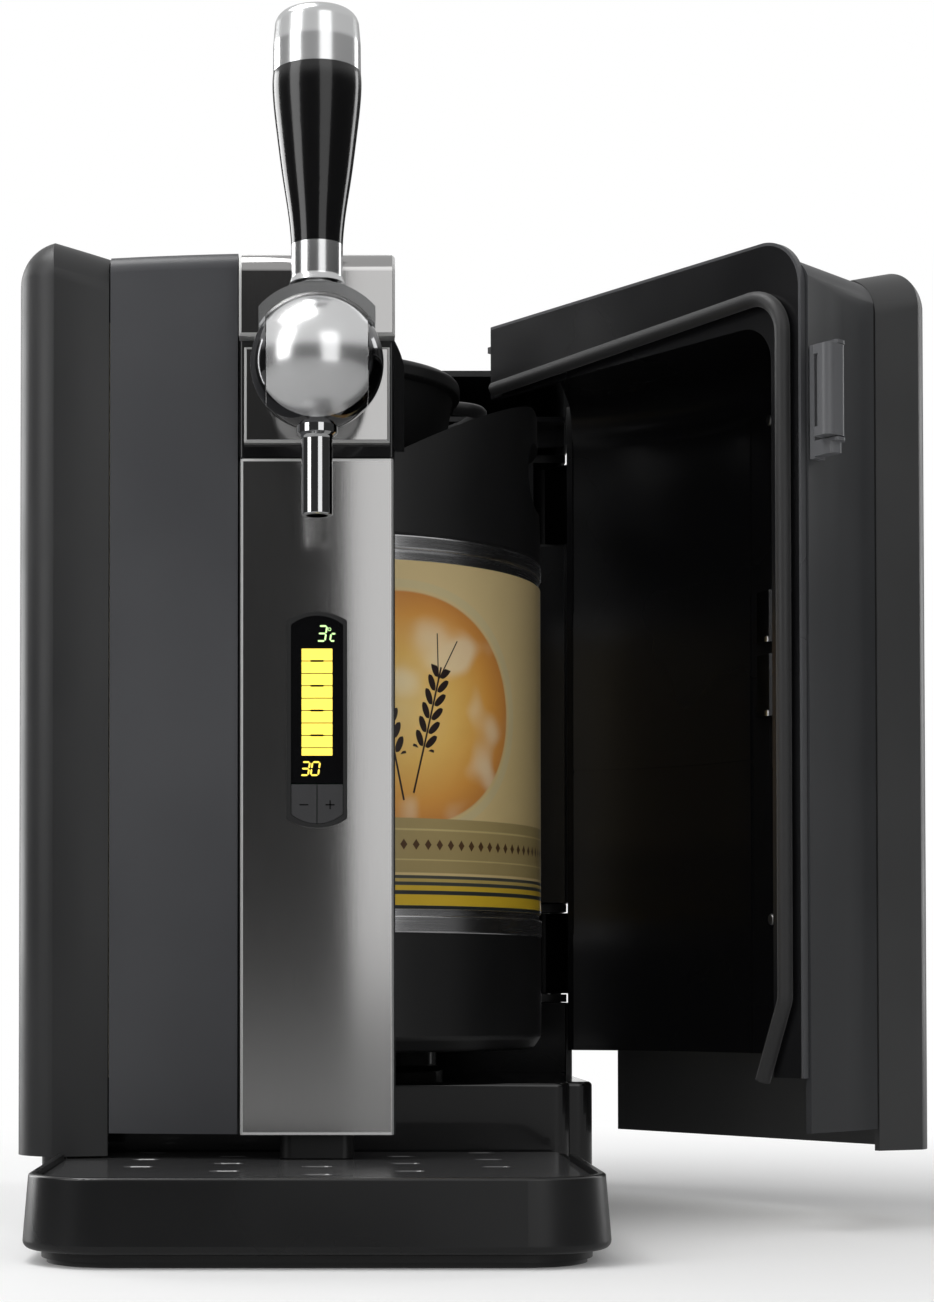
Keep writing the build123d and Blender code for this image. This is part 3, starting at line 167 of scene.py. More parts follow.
class NodeTree:
    """Nodes and links that are added from Python."""

    def __init__(self, tree):
        self.tree = tree

    def add(self, kind, settings=None, *values, out=0, **named):
        """A new node, given as the wire of one of its outputs."""
        node = self.tree.nodes.new(kind)
        for key, value in (settings or {}).items():
            if key == "stops":
                self.set_stops(node.color_ramp, value)
            else:
                setattr(node, key, value)
        for slot, value in [*enumerate(values), *named.items()]:
            self.feed(node.inputs[slot.replace("_", " ") if isinstance(slot, str) else slot], value)
        return Wire(self, node.outputs[out])

    def set_stops(self, ramp, stops):
        while len(ramp.elements) < len(stops):
            ramp.elements.new(0.5)
        for element, (place, colour) in zip(ramp.elements, stops):
            element.position = place
            element.color = (*colour, 1.0)

    def feed(self, socket, value):
        """Link a wire to a socket or set the socket's value. None leaves it as it is."""
        if isinstance(value, Wire):
            self.tree.links.new(value.socket, socket)
        elif value is not None:
            socket.default_value = value

    def maths(self, operation, *values):
        return self.add("ShaderNodeMath", {"operation": operation}, *values)

    def parts_of(self, coordinates):
        """The x, y and z of one kind of texture coordinate."""
        point = self.add("ShaderNodeTexCoord", out=coordinates)
        node = self.tree.nodes.new("ShaderNodeSeparateXYZ")
        self.feed(node.inputs[0], point)
        return [Wire(self, socket) for socket in node.outputs]

    def step(self, value, low, high, first=0.0, last=1.0):
        """A smooth step of value from first, at low, to last, at high."""
        settings = {"interpolation_type": "SMOOTHSTEP"}
        return self.add("ShaderNodeMapRange", settings, value, low, high, first, last)

    def blend(self, amount, first, last):
        """Colour between first and last."""
        colours = [(*colour, 1.0) if isinstance(colour, tuple) else colour for colour in (first, last)]
        values = (amount, *NUMBERS_AND_VECTORS, *colours)
        return self.add("ShaderNodeMix", {"data_type": "RGBA"}, *values, out=MIXED_COLOUR)

    def noise(self, scale, detail=2.0, stretch=(1.0, 1.0, 1.0)):
        """Noise from 0 to 1 with features of about 1 / scale metres, drawn out along an axis."""
        point = self.add("ShaderNodeTexCoord", out="Object")
        point = self.add("ShaderNodeMapping", None, point, None, None, stretch)
        return self.add("ShaderNodeTexNoise", None, point, Scale=scale, Detail=detail)

    def bump(self, height, depth):
        """Normal of a surface with this height, in metres for each unit of height."""
        return self.add("ShaderNodeBump", None, Height=height, Distance=depth, Strength=1.0)


print("node trees: ready")

# %% [markdown]
# ## A finish
#
# A finish is a material whose surface shader is already there, so only its sockets are set. Patterns
# read the place of a point in metres.

# %% Finish
class Finish(NodeTree):
    """A material that is filled from Python."""

    def __init__(self, name):
        self.material = bpy.data.materials.new(name)
        self.material.use_nodes = True
        super().__init__(self.material.node_tree)
        self.shader = self.tree.nodes["Principled BSDF"]

    def set(self, **sockets):
        """Values or wires for the sockets of the surface shader."""
        for name, value in sockets.items():
            self.feed(self.shader.inputs[name.replace("_", " ")], value)

    def place(self):
        """The x, y and z of a point of the piece, in metres."""
        return self.parts_of("Object")


print("finish: ready")

# %% [markdown]
# ## Moulded plastic
#
# Most of the cabinet is injection-moulded plastic. The covers have a fine spark-eroded grain that
# spreads highlights, the tray and tap housing are polished, and the inside walls are in between. All
# three are the same sum with other numbers, so one function makes them: a dark colour that varies a
# little, a roughness that follows a broad noise, as handling polishes it, and a fine grain as bump.
#
# The open door faces another side of the studio than the cabinet does, so its covers wear copies of the
# cabinet's paints with light and shade painted in: the panel's is darker, as painted shade, the wing's
# paler, as painted light, and the rim of its flange is paler still, as a painted highlight.

# %% Plastics
PATCH_SHADES = (0.86, 1.12)


def plastic(name, colour, roughness, grain_depth=0.0, coat=0.0, polish=0.06, grain_scale=2600.0):
    """Moulded plastic or paint: dark base, patchy polish and fine grain."""
    made = Finish(name)
    broad = made.noise(9.0, 3.0)
    darker, lighter = (tuple(min(1.0, share * part) for part in colour) for share in PATCH_SHADES)
    made.set(
        Base_Color=made.blend(broad, darker, lighter),
        Roughness=made.step(broad, 0.3, 0.7, roughness - polish, roughness + polish),
        Coat_Weight=coat,
        Coat_Roughness=0.04,
    )
    if grain_depth:
        made.set(Normal=made.bump(made.noise(grain_scale, 2.0), grain_depth))
    return made


dark_shell = plastic("dark_shell", (0.0185, 0.0188, 0.0195), 0.42, 0.00002)
panel_paint = plastic("panel_paint", (0.052, 0.053, 0.058), 0.4, 0.00001)
# Painted shade: the door's panel paint is the panel paint made darker.
door_paint_painted_shade = plastic("door_paint_painted_shade", (0.031, 0.032, 0.0345), 0.4, 0.00001)
# Painted highlight: the flange's rim is painted paler than the frame.
rim_painted_highlight = plastic("rim_painted_highlight", (0.075, 0.076, 0.08), 0.3, 0.00001)
# Painted light: the door's shell is the cabinet's shell made paler.
door_shell_painted_light = plastic("door_shell_painted_light", (0.047, 0.0473, 0.048), 0.36, 0.00002)
gloss_black = plastic("gloss_black", (0.0045, 0.0045, 0.0048), 0.16, coat=0.4, polish=0.03)
grate_black = plastic("grate_black", (0.085, 0.085, 0.087), 0.22, coat=0.6, polish=0.02)
satin_black = plastic("satin_black", (0.0075, 0.0075, 0.0078), 0.38, 0.00002)
tray_black = plastic("tray_black", (0.0085, 0.0086, 0.009), 0.3, 0.00001)
inner_wall = plastic("inner_wall", (0.0055, 0.0055, 0.0062), 0.26, 0.00001)
key_grey = plastic("key_grey", (0.035, 0.035, 0.037), 0.4, 0.00001)
latch_grey = plastic("latch_grey", (0.11, 0.112, 0.118), 0.34, 0.00001)
board_green = plastic("board_green", (0.01, 0.09, 0.035), 0.35, 0.00002)
foam = plastic("foam", (0.62, 0.58, 0.45), 0.85, 0.0003, grain_scale=700.0)
ceramic = plastic("ceramic", (0.7, 0.69, 0.66), 0.3, 0.00001)
print("plastics: 15")

# %% [markdown]
# ## Rubber and hoses
#
# The door's seal is an extruded rubber tube. It is matt, a little paler where it's dusty, and has faint
# ripples from extrusion. The beer and air hoses are the same stuff with a smoother skin.

# %% Rubber
def rubber(name, colour, roughness):
    made = plastic(name, colour, roughness, 0.00003, grain_scale=1500.0)
    made.set(Sheen_Weight=0.15, Sheen_Roughness=0.5)
    return made


seal_rubber = rubber("seal_rubber", (0.017, 0.017, 0.0175), 0.5)
hose_rubber = rubber("hose_rubber", (0.012, 0.012, 0.0125), 0.36)
print("rubbers: 2")

# %% [markdown]
# ## Polished metals
#
# Chrome is polished and almost without scratches, and the zinc of the screws is dull and cloudy. One
# noise that wears the polish a little is enough for all of them, with other numbers.

# %% Chrome and zinc
SMOKED = (0.2, 0.2, 0.205)


def polished(name, colour, roughness, smear=0.02):
    """Bright metal with faint cloudy wear."""
    made = Finish(name)
    wear = made.noise(60.0, 4.0)
    made.set(
        Base_Color=made.blend(wear, tuple(0.94 * part for part in colour), colour),
        Metallic=1.0,
        Roughness=made.step(wear, 0.35, 0.75, roughness, roughness + smear),
    )
    return made


chrome = polished("chrome", (0.78, 0.785, 0.79), 0.05)
satin_chrome = polished("satin_chrome", (0.84, 0.845, 0.85), 0.2)
smoked_chrome = polished("smoked_chrome", SMOKED, 0.07)
clip_steel = polished("clip_steel", (0.42, 0.42, 0.43), 0.16)
zinc = polished("zinc", (0.42, 0.42, 0.42), 0.34, 0.15)
aluminium = polished("aluminium", (0.68, 0.69, 0.7), 0.38, 0.1)
print("polished metals: 6")

# %% [markdown]
# ## The ball of the tap
#
# The ball is chromed all over, but the round face that the lever clasps is satin. Only the polish
# changes at the line between them, so a mask draws it: outside a circle and below the ball's middle, the
# chrome is smoked and clear.

# %% Ball of the tap
FACE_RADIUS = 0.0252
FACE_SOFTNESS = 0.00012
FACE_FOOT = -0.004
FOOT_SOFTNESS = 0.002
SMOKED_ROUGHNESS = 0.07


def two_tone_ball():
    """Satin on the face that the lever clasps, smoked polish below an arc and on the neck."""
    made = Finish("ball_chrome")
    low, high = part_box("tap_ball")
    across, _, height = made.place()
    up = height - (low.z + high.z) / 2
    reach = (across * across + up * up) ** 0.5
    below = reach.above(FACE_RADIUS, FACE_SOFTNESS) * up.below(FACE_FOOT, FOOT_SOFTNESS)
    wear = made.noise(60.0, 4.0)
    satin = made.blend(wear, (0.84, 0.84, 0.845), (0.9, 0.905, 0.91))
    satin_roughness = made.step(wear, 0.35, 0.75, 0.22, 0.25)
    made.set(
        Base_Color=made.blend(below, satin, SMOKED),
        Metallic=0.86 + below * 0.14,
        Roughness=satin_roughness * (1.0 - below) + below * SMOKED_ROUGHNESS,
    )
    return made


ball_chrome = two_tone_ball()
print("ball: satin face of", FACE_RADIUS, "m radius")

# %% [markdown]
# ## Brushed steel of the column
#
# The column's sheet was brushed upright, so its scratches are noise drawn out along Z. The sheet is also
# slightly bowed across its width, which spreads a lamp's reflection into a soft upright band. A bump
# from the square of the distance across does that without bending the solid. The outer millimetre of
# each sheet is painted pale and rough, as a painted highlight along its edges.

# %% Brushed steel
SHEET_COLOUR = (0.52, 0.515, 0.51)
COLUMN_BOW = 0.22
SHEET_HIGHLIGHT_WIDTH = 0.0011
HIGHLIGHT_SOFTNESS = 0.0001
SHEET_SLACK = 0.001
SLACK_SOFTNESS = 0.0002


def sheet_edge_highlight(across, height, sheet):
    """1 on the painted highlight along the outer rim of one sheet, and 0 on the rest of it and past its
    ends.
    """
    low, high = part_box(sheet)
    rim = abs(across).above(high.x - SHEET_HIGHLIGHT_WIDTH, HIGHLIGHT_SOFTNESS)
    rim = rim.larger(height.below(low.z + SHEET_HIGHLIGHT_WIDTH, HIGHLIGHT_SOFTNESS))
    rim = rim.larger(height.above(high.z - SHEET_HIGHLIGHT_WIDTH, HIGHLIGHT_SOFTNESS))
    over_foot = height.above(low.z - SHEET_SLACK, SLACK_SOFTNESS)
    under_top = height.below(high.z + SHEET_SLACK, SLACK_SOFTNESS)
    return rim * (over_foot * under_top)


def upright_brushed(name, roughness, sheets):
    """Steel brushed along Z and slightly bowed across its width, with painted highlights on its rims."""
    made = Finish(name)
    across, _, height = made.place()
    brush = made.noise(3500.0, 3.0, (1.0, 1.0, 0.012))
    cloud = made.noise(18.0, 2.0, (1.0, 1.0, 0.3))
    bowed = across * across * (-0.5 / COLUMN_BOW) + brush * 0.000005
    steel = made.blend(cloud, tuple(0.93 * part for part in SHEET_COLOUR), SHEET_COLOUR)
    rim, *other_highlights = [sheet_edge_highlight(across, height, sheet) for sheet in sheets]
    for other in other_highlights:
        rim = rim.larger(other)
    made.set(
        # The pale, rough rim is a painted highlight along the sheet's edges.
        Base_Color=made.blend(rim, steel, (0.92, 0.92, 0.91)),
        Metallic=1.0,
        Roughness=brush * 0.08 + (roughness - 0.04) + rim * 0.4,
        Normal=made.bump(bowed, 1.0),
    )
    return made


column_steel = upright_brushed("column_steel", 0.17, ["column_panel"])
cover_steel = upright_brushed("cover_steel", 0.12, ["tap_lower_cover", "tap_upper_cover"])
print("column steel: bowed to a radius of", COLUMN_BOW, "m")

# %% [markdown]
# ## Turned steel of the keg
#
# The keg was brushed while it turned, so its scratches run round it. Noise that changes with the height
# alone draws them on every side, and the keg needs no unwrapping.

# %% Turned steel of the keg
def ring_brushed(name, colour, roughness):
    """Steel brushed while it turned, so that the scratches lie level."""
    made = Finish(name)
    lines = made.noise(2400.0, 3.0, (0.01, 0.01, 1.0))
    made.set(
        Base_Color=made.blend(lines, tuple(0.85 * part for part in colour), colour),
        Metallic=1.0,
        Roughness=lines * 0.12 + (roughness - 0.06),
        Normal=made.bump(lines, 0.000004),
    )
    return made


keg_steel = ring_brushed("keg_steel", (0.72, 0.72, 0.73), 0.26)
print("keg steel: ready")

# %% [markdown]
# ## The display
#
# Behind the glass lies a black panel whose figures light up. The glass itself is nearly opaque, so a
# dark, very smooth plastic stands for it. Lit segments are an even emission, weak enough to keep their
# colour.

# %% Display finishes
def lit(name, colour, strength):
    made = Finish(name)
    glow = made.noise(900.0, 1.0)
    made.set(
        Base_Color=(*colour, 1.0),
        Roughness=0.4,
        Emission_Color=made.blend(glow, tuple(0.92 * part for part in colour), colour),
        Emission_Strength=strength,
    )
    return made


display_black = plastic("display_black", (0.0025, 0.0025, 0.003), 0.08, coat=0.3, polish=0.02)
lit_yellow = lit("lit_yellow", (1.0, 0.78, 0.1), 0.75)
lit_green = lit("lit_green", (0.62, 0.95, 0.4), 0.7)
print("display finishes: 3")

# %% [markdown]
# ## The keg's wrap
#
# A keg like this carries a printed film in khaki and gold, with an amber picture in the middle and
# stripes at its lower edge. This one has a plain design of its own: a glowing oval with two ears of
# barley. It could be an image, but sums stay sharp at any size. They work on two numbers, the way round
# the keg and the height above the film's lower edge, both in millimetres. Bands and ovals are the
# building blocks.

# %% Bands and ovals
def band(value, low, high, softness=0.25):
    """1 where value lies between low and high."""
    return value.above(low, softness) * value.below(high, softness)


def ellipse(u, v, centre, size):
    """Distance from the centre as a share of the way to the edge."""
    across = (u - centre[0]) / size[0]
    up = (v - centre[1]) / size[1]
    return (across * across + up * up) ** 0.5


print("building blocks of the print: 2")

# %% [markdown]
# ## An ear of barley
#
# The ear is one grain, repeated along a stem. What is left of the height after whole pitches starts anew
# at each grain, and the distance from the stem without its sign mirrors the grain to the other side. Over
# the grains the beard spreads in two thin lines.

# %% Barley
GRAIN_PITCH = 6.4
PITCHES_BELOW = 20
GRAIN_REACH = 3.0
GRAIN_SIZE = (1.55, 3.9)
GRAIN_TILT = math.radians(32)
GRAIN_SPAN = (-14.0, 24.0)
STEM_HALF_WIDTH = 0.45
STEM_SPAN = (-34.0, 24.0)
BEARD_HALF_WIDTH = 0.3
BEARD_SPAN = (18.0, 38.0)
BEARD_SPREAD = 0.28
INK_SOFTNESS = 0.12


def barley(u, v, centre, lean):
    """A leaning ear: a stem, with pairs of grains that point up and out, and a beard."""
    cosine = math.cos(lean)
    sine = math.sin(lean)
    across = (u - centre[0]) * cosine + (v - centre[1]) * sine
    along = (v - centre[1]) * cosine - (u - centre[0]) * sine
    side = abs(across)
    cell = (along + PITCHES_BELOW * GRAIN_PITCH).maths("MODULO", GRAIN_PITCH) - GRAIN_PITCH / 2
    out = (side - GRAIN_REACH) * math.cos(GRAIN_TILT) - cell * math.sin(GRAIN_TILT)
    up = (side - GRAIN_REACH) * math.sin(GRAIN_TILT) + cell * math.cos(GRAIN_TILT)
    grain = ((out / GRAIN_SIZE[0]) ** 2.0 + (up / GRAIN_SIZE[1]) ** 2.0).below(1.0, INK_SOFTNESS)
    grains = grain * band(along, *GRAIN_SPAN)
    stem = side.below(STEM_HALF_WIDTH, INK_SOFTNESS) * band(along, *STEM_SPAN)
    beard_line = abs(side - (along - BEARD_SPAN[0]) * BEARD_SPREAD)
    beard = beard_line.below(BEARD_HALF_WIDTH, INK_SOFTNESS) * band(along, *BEARD_SPAN)
    return grains.larger(stem).larger(beard)


print("grains on an ear:", 2 * round((GRAIN_SPAN[1] - GRAIN_SPAN[0]) / GRAIN_PITCH))

# %% [markdown]
# ## The foot of the design
#
# Under the picture stands a plinth in olive, with two golden rules and a row of lozenges between them. A
# value that runs up and down again makes the row, as each lozenge is the space between two slopes. The
# film's lowest edge is striped in gold and black, from the bottom up.

# %% Plinth and stripes
PLINTH = (16.0, 40.0)
RULES = ((34.6, 35.4), (21.4, 22.0))
LOZENGE_FIELD = (24.0, 33.0)
LOZENGE_PITCH = 6.0
LOZENGE_MIDDLE = 28.4
LOZENGE_HALF_HEIGHT = 2.4
LOZENGE_SLIMNESS = 1.4
STRIPE_SOFTNESS = 0.12
STRIPES = (
    (0.0, 1.6, (0.02, 0.025, 0.028)),
    (1.6, 6.4, (0.75, 0.5, 0.03)),
    (6.4, 8.2, (0.035, 0.04, 0.038)),
    (8.2, 10.4, (0.7, 0.47, 0.04)),
    (10.4, 12.0, (0.06, 0.065, 0.055)),
    (12.0, 13.4, (0.55, 0.41, 0.12)),
    (13.4, 14.8, (0.08, 0.08, 0.065)),
)


def foot_of_film(made, u, v, colour):
    """The plinth, its rules and lozenges, and the stripes, laid over a colour."""
    colour = made.blend(band(v, *PLINTH), colour, (0.43, 0.33, 0.14))
    upper_rule, lower_rule = (band(v, *rule) for rule in RULES)
    colour = made.blend(upper_rule.larger(lower_rule), colour, (0.62, 0.5, 0.22))
    aside = abs(u.maths("PINGPONG", LOZENGE_PITCH) - LOZENGE_PITCH / 2) * LOZENGE_SLIMNESS
    lozenge = (aside + abs(v - LOZENGE_MIDDLE)).below(LOZENGE_HALF_HEIGHT, 0.25)
    colour = made.blend(lozenge * band(v, *LOZENGE_FIELD), colour, (0.1, 0.05, 0.02))
    for low, high, shade in STRIPES:
        colour = made.blend(band(v, low, high, STRIPE_SOFTNESS), colour, shade)
    return colour


print("stripes at the film's edge:", len(STRIPES))

# %% [markdown]
# ## The printed film
#
# The layers go on in a printer's order: khaki, the oval with its glow and its rim, the barley in dark
# ink, and the foot. The khaki is painted paler than the print's own, as painted light that makes up for
# the shade inside the cabinet. The khaki is more metallic than the oval, and a thin clear coat lies over
# it all.

# %% Printed film
KEG_RADIUS = 106.7
OVAL_CENTRE = (38.0, 88.0)
OVAL_SIZE = (62.0, 52.0)
OVAL_SOFTNESS = 0.012
OVAL_RIM = (1.03, 1.1)
OVAL_GLOW = (
    (0.0, (0.86, 0.62, 0.24)),
    (0.45, (0.85, 0.52, 0.13)),
    (0.8, (0.78, 0.36, 0.07)),
    (1.0, (0.66, 0.27, 0.06)),
)
EARS = (((52.0, 84.0), math.radians(-14)), ((32.0, 81.0), math.radians(12)))


def printed_film():
    made = Finish("keg_print")
    x, y, z = made.place()
    u = x.maths("ARCTAN2", -y) * KEG_RADIUS
    v = (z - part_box("keg_sleeve")[0].z) / MM
    # Painted light: the khaki is paler than printed, to make up for the shade inside the cabinet.
    khaki_with_painted_light = made.blend(made.step(v, 20.0, 150.0), (0.72, 0.545, 0.24), (0.72, 0.55, 0.26))
    khaki_with_painted_light = made.blend(made.noise(14.0, 3.0) * 0.35, khaki_with_painted_light, (0.84, 0.7, 0.42))
    reach = ellipse(u, v, OVAL_CENTRE, OVAL_SIZE)
    glow = made.add("ShaderNodeValToRGB", {"stops": OVAL_GLOW}, reach)
    mist = made.step(made.noise(38.0, 1.0), 0.52, 0.72)
    glow = made.blend(mist * 0.6, glow, (0.95, 0.85, 0.6))
    colour = made.blend(reach.below(1.0, OVAL_SOFTNESS), khaki_with_painted_light, glow)
    rim = band(reach, *OVAL_RIM, OVAL_SOFTNESS)
    colour = made.blend(rim * 0.7, colour, (0.68, 0.58, 0.33))
    first_ear, second_ear = (barley(u, v, centre, lean) for centre, lean in EARS)
    colour = made.blend(first_ear.larger(second_ear), colour, (0.022, 0.011, 0.01))
    made.set(
        Base_Color=foot_of_film(made, u, v, colour),
        Metallic=made.step(reach, 0.0, 1.6, 0.05, 0.3),
        Roughness=made.noise(20.0, 2.0) * 0.12 + 0.26,
        Coat_Weight=0.3,
        Coat_Roughness=0.12,
    )
    return made


keg_print = printed_film()
print("keg print: oval at", OVAL_CENTRE, "mm")

# %% [markdown]
# ## Finishes for the frame
#
# Each part of the frame gets one of the finishes. The table goes finish by finish, which shows at a
# glance what is made of what, and any part that is forgotten is printed.

# %% Dress the frame
wearers = {
    dark_shell: "left_cover rear_housing",
    panel_paint: "front_panel",
    # The door's panel and wing wear the paints with painted shade and painted light.
    door_paint_painted_shade: "door_panel",
    door_shell_painted_light: "door_wing",
    gloss_black: "tap_housing handle_grip keg_rest base",
    satin_black: (
        "bottom_plate column_core keg_collar keg_foot keg_coupler rear_grille power_inlet fan_frame"
        " fan_impeller air_pump hinge_arms hinge_brackets"
    ),
    grate_black: "drip_grate",
    tray_black: "drip_tray",
    inner_wall: "chamber_liner door_liner door_frame",
    key_grey: "minus_button plus_button",
    latch_grey: "door_latch latch_base",
    board_green: "display_board electronics",
    foam: "insulation door_foam",
    ceramic: "peltier_module",
    seal_rubber: "door_gasket foot_ring",
    hose_rubber: "beer_line keg_hoses",
    chrome: "tap_spout display_rim",
    satin_chrome: "lever_yoke lever_ferrule handle_cap",
    ball_chrome: "tap_ball",
    smoked_chrome: "ball_caps",
    clip_steel: "door_clips",
    zinc: "door_screws rear_screws hinge_pins lever_pin",
    aluminium: "heatsink cold_plate",
    column_steel: "column_panel",
    cover_steel: "tap_lower_cover tap_upper_cover",
    keg_steel: "keg_shell keg_rings",
    keg_print: "keg_sleeve",
    display_black: "display_glass",
}
dressed = set()
for finish, names in wearers.items():
    for name in names.split():
        part = nodes[name]
        part.data.materials.clear()
        part.data.materials.append(finish.material)
        dressed.add(name)
print("parts without a finish:", sorted(set(nodes) - dressed))

# %% [markdown]
# ## Small tools for modelling
#
# A few helpers keep the modelling cells short. One clears the selection, since the frame's parts are
# all selected after loading, and one adds a block between two corners. Edges are selected by a test in
# code on their two ends. The last helper finishes a piece: its place goes into its mesh, it gets its
# finish, and it is told which body of the frame it moves with.

# %% Modelling helpers
HAIR = 1e-5


def clear_selection():
    bpy.ops.object.select_all(action="DESELECT")


def select_only(piece):
    clear_selection()
    piece.select_set(True)
    bpy.context.view_layer.objects.active = piece


def add_block(low, high):
    """A cube primitive at its size and place, between two corners in millimetres."""
    clear_selection()
    middle = [(a + b) / 2 * MM for a, b in zip(low, high)]
    bpy.ops.mesh.primitive_cube_add(size=1.0, location=middle)
    piece = bpy.context.object
    piece.scale = [(b - a) * MM for a, b in zip(low, high)]
    bpy.ops.object.transform_apply(location=True, rotation=True, scale=True)
    return piece


def bevel_edges(piece, test, width, segments):
    """Bevel the edges whose two ends pass the test, in edit mode. The width is in millimetres."""
    bpy.ops.object.mode_set(mode="EDIT")
    bpy.ops.mesh.select_all(action="DESELECT")
    bpy.ops.mesh.select_mode(type="EDGE")
    bpy.ops.object.mode_set(mode="OBJECT")
    for edge in piece.data.edges:
        first, last = (piece.data.vertices[i].co for i in edge.vertices)
        edge.select = bool(test(first, last))
    bpy.ops.object.mode_set(mode="EDIT")
    bpy.ops.mesh.bevel(offset=width * MM, segments=segments)
    bpy.ops.object.mode_set(mode="OBJECT")


def join(pieces):
    """Make several pieces one mesh."""
    clear_selection()
    for piece in pieces:
        piece.select_set(True)
    bpy.context.view_layer.objects.active = pieces[0]
    bpy.ops.object.join()
    return pieces[0]


def finish_piece(piece, name, finish, body):
    select_only(piece)
    bpy.ops.object.transform_apply(location=True, rotation=True, scale=True)
    piece.name = name
    piece.data.name = name
    piece.data.materials.clear()
    piece.data.materials.append(finish.material)
    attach(piece, body)
    print(name, "faces:", len(piece.data.polygons))


# %% [markdown]
# ## Rolled corners
#
# On the real cabinet, the tops of the moulded covers roll over softly into their fronts. The frame's
# parts have a tighter corner there, so some of them get a copy with a wider roll. The frame's meshes are
# thin triangles, which don't bevel well. So the roll is made on a plain block that is bigger than the
# cover, and the cover keeps what it has in common with the block.
#
# The sizes are those of the shut door, but the frame's door stands open. The frame's record says where
# the hinge is and how far the door is from shut, so a block can be carried round with it.

# %% The open door
hinge = next(joint for joint in frame["record"]["behaviour"]["joints"] if joint["name"] == "door_hinge")
HINGE_PLACE = Vector(hinge["pos_m"])
OPEN_TURN = -math.radians(hinge["range_deg"][0])


def turned(point, turn):
    """A point of the shut door, carried round the hinge."""
    return HINGE_PLACE + Matrix.Rotation(turn, 3, "Z") @ (Vector(point) - HINGE_PLACE)


def carry(block, turn):
    """Turn a block round the hinge with the door."""
    select_only(block)
    block.rotation_euler.z = turn
    block.location = turned((0.0, 0.0, 0.0), turn)
    bpy.ops.object.transform_apply(location=True, rotation=True, scale=True)
    return block


print("the door is open by", round(math.degrees(OPEN_TURN), 1), "degrees")

# %% [markdown]
# ## A block with a rolled edge
#
# The fronts of the covers sweep back towards the sides, so one straight block doesn't follow them. It is
# given by two stations instead, each with its x and the front and top of the cover there. The block
# starts as a cube at the first station, and its right-hand corners slide to the second one before the
# edge between front and top is bevelled.

# %% Rolled block
BLOCK_BACK = 140.0
BLOCK_FOOT = -20.0
ROLL_SEGMENTS = 20


def move_corners(block, test, step):
    """Slide the corners that pass the test, in edit mode."""
    bpy.ops.object.mode_set(mode="EDIT")
    bpy.ops.mesh.select_mode(type="VERT")
    bpy.ops.mesh.select_all(action="DESELECT")
    bpy.ops.object.mode_set(mode="OBJECT")
    for corner in block.data.vertices:
        corner.select = bool(test(corner.co))
    bpy.ops.object.mode_set(mode="EDIT")
    bpy.ops.transform.translate(value=step)
    bpy.ops.object.mode_set(mode="OBJECT")


def rolled_block(first, last, radius):
    """A block through two stations (x, front, top), with its top front edge rounded."""
    block = add_block((first[0], first[1], BLOCK_FOOT), (last[0], BLOCK_BACK, first[2]))
    middle = (first[0] + last[0]) / 2 * MM
    front = first[1] * MM + HAIR
    top = first[2] * MM - HAIR
    move_corners(block, lambda p: p.x > middle and p.y < front, (0.0, (last[1] - first[1]) * MM, 0.0))
    move_corners(block, lambda p: p.x > middle and p.z > top, (0.0, 0.0, (last[2] - first[2]) * MM))
    front = max(first[1], last[1]) * MM + HAIR
    top = min(first[2], last[2]) * MM - HAIR
    bevel_edges(block, lambda *ends: all(p.y < front and p.z > top for p in ends), radius, ROLL_SEGMENTS)
    return block


print("a roll has", ROLL_SEGMENTS, "segments")

# %% [markdown]
# ## A block with a domed corner
#
# The wings, which are the cabinet's two outer covers, are also round at their upright outer corner, and
# the roll runs round it like the brim of a dome. Two bevels make that: first the upright edge, then all
# the top edges but the inner and the back one.

# %% Domed block
def domed_block(low, high, side, corner_radius, radius):
    """A block with a round upright corner on one side, and one roll along its top edges."""
    block = add_block((low[0], low[1], BLOCK_FOOT), (high[0], BLOCK_BACK, high[2]))
    inner, outer = (x * MM for x in ((low[0], high[0]) if side > 0 else (high[0], low[0])))
    front = low[1] * MM + HAIR
    top = high[2] * MM - HAIR
    back = BLOCK_BACK * MM - HAIR

    def is_upright_corner(*ends):
        return all(abs(p.x - outer) < HAIR and p.y < front for p in ends)

    def is_brim(*ends):
        at_inner = all(abs(p.x - inner) < HAIR for p in ends)
        at_back = all(p.y > back for p in ends)
        return all(p.z > top for p in ends) and not at_inner and not at_back

    bevel_edges(block, is_upright_corner, corner_radius, ROLL_SEGMENTS)
    bevel_edges(block, is_brim, radius, ROLL_SEGMENTS)
    return block


print("trimming blocks: 2")

# %% [markdown]
# ## Copying and carving
#
# A boolean modifier needs a closed mesh, and a part of the frame is loose triangles. Its copy is merged
# first. The corner normals that were stored for the loose triangles are dropped as well, or the carved
# copy would be shaded in patches.

# %% Copy and carve
MERGE_DISTANCE = 1e-6


def copy_of(part):
    """A copy with its own mesh, whose split corners are merged."""
    piece = part.copy()
    piece.data = part.data.copy()
    bpy.context.scene.collection.objects.link(piece)
    select_only(piece)
    bpy.ops.object.mode_set(mode="EDIT")
    bpy.ops.mesh.select_all(action="SELECT")
    bpy.ops.mesh.remove_doubles(threshold=MERGE_DISTANCE)
    bpy.ops.object.mode_set(mode="OBJECT")
    bpy.ops.mesh.customdata_custom_splitnormals_clear()
    return piece


def carve(piece, tool, operation):
    """Apply a boolean modifier and throw the tool away."""
    select_only(piece)
    change = piece.modifiers.new("carve", "BOOLEAN")
    change.object = tool
    change.operation = operation
    change.solver = "EXACT"
    bpy.ops.object.modifier_apply(modifier="carve")
    bpy.data.objects.remove(tool)


print("copying and carving: ready")

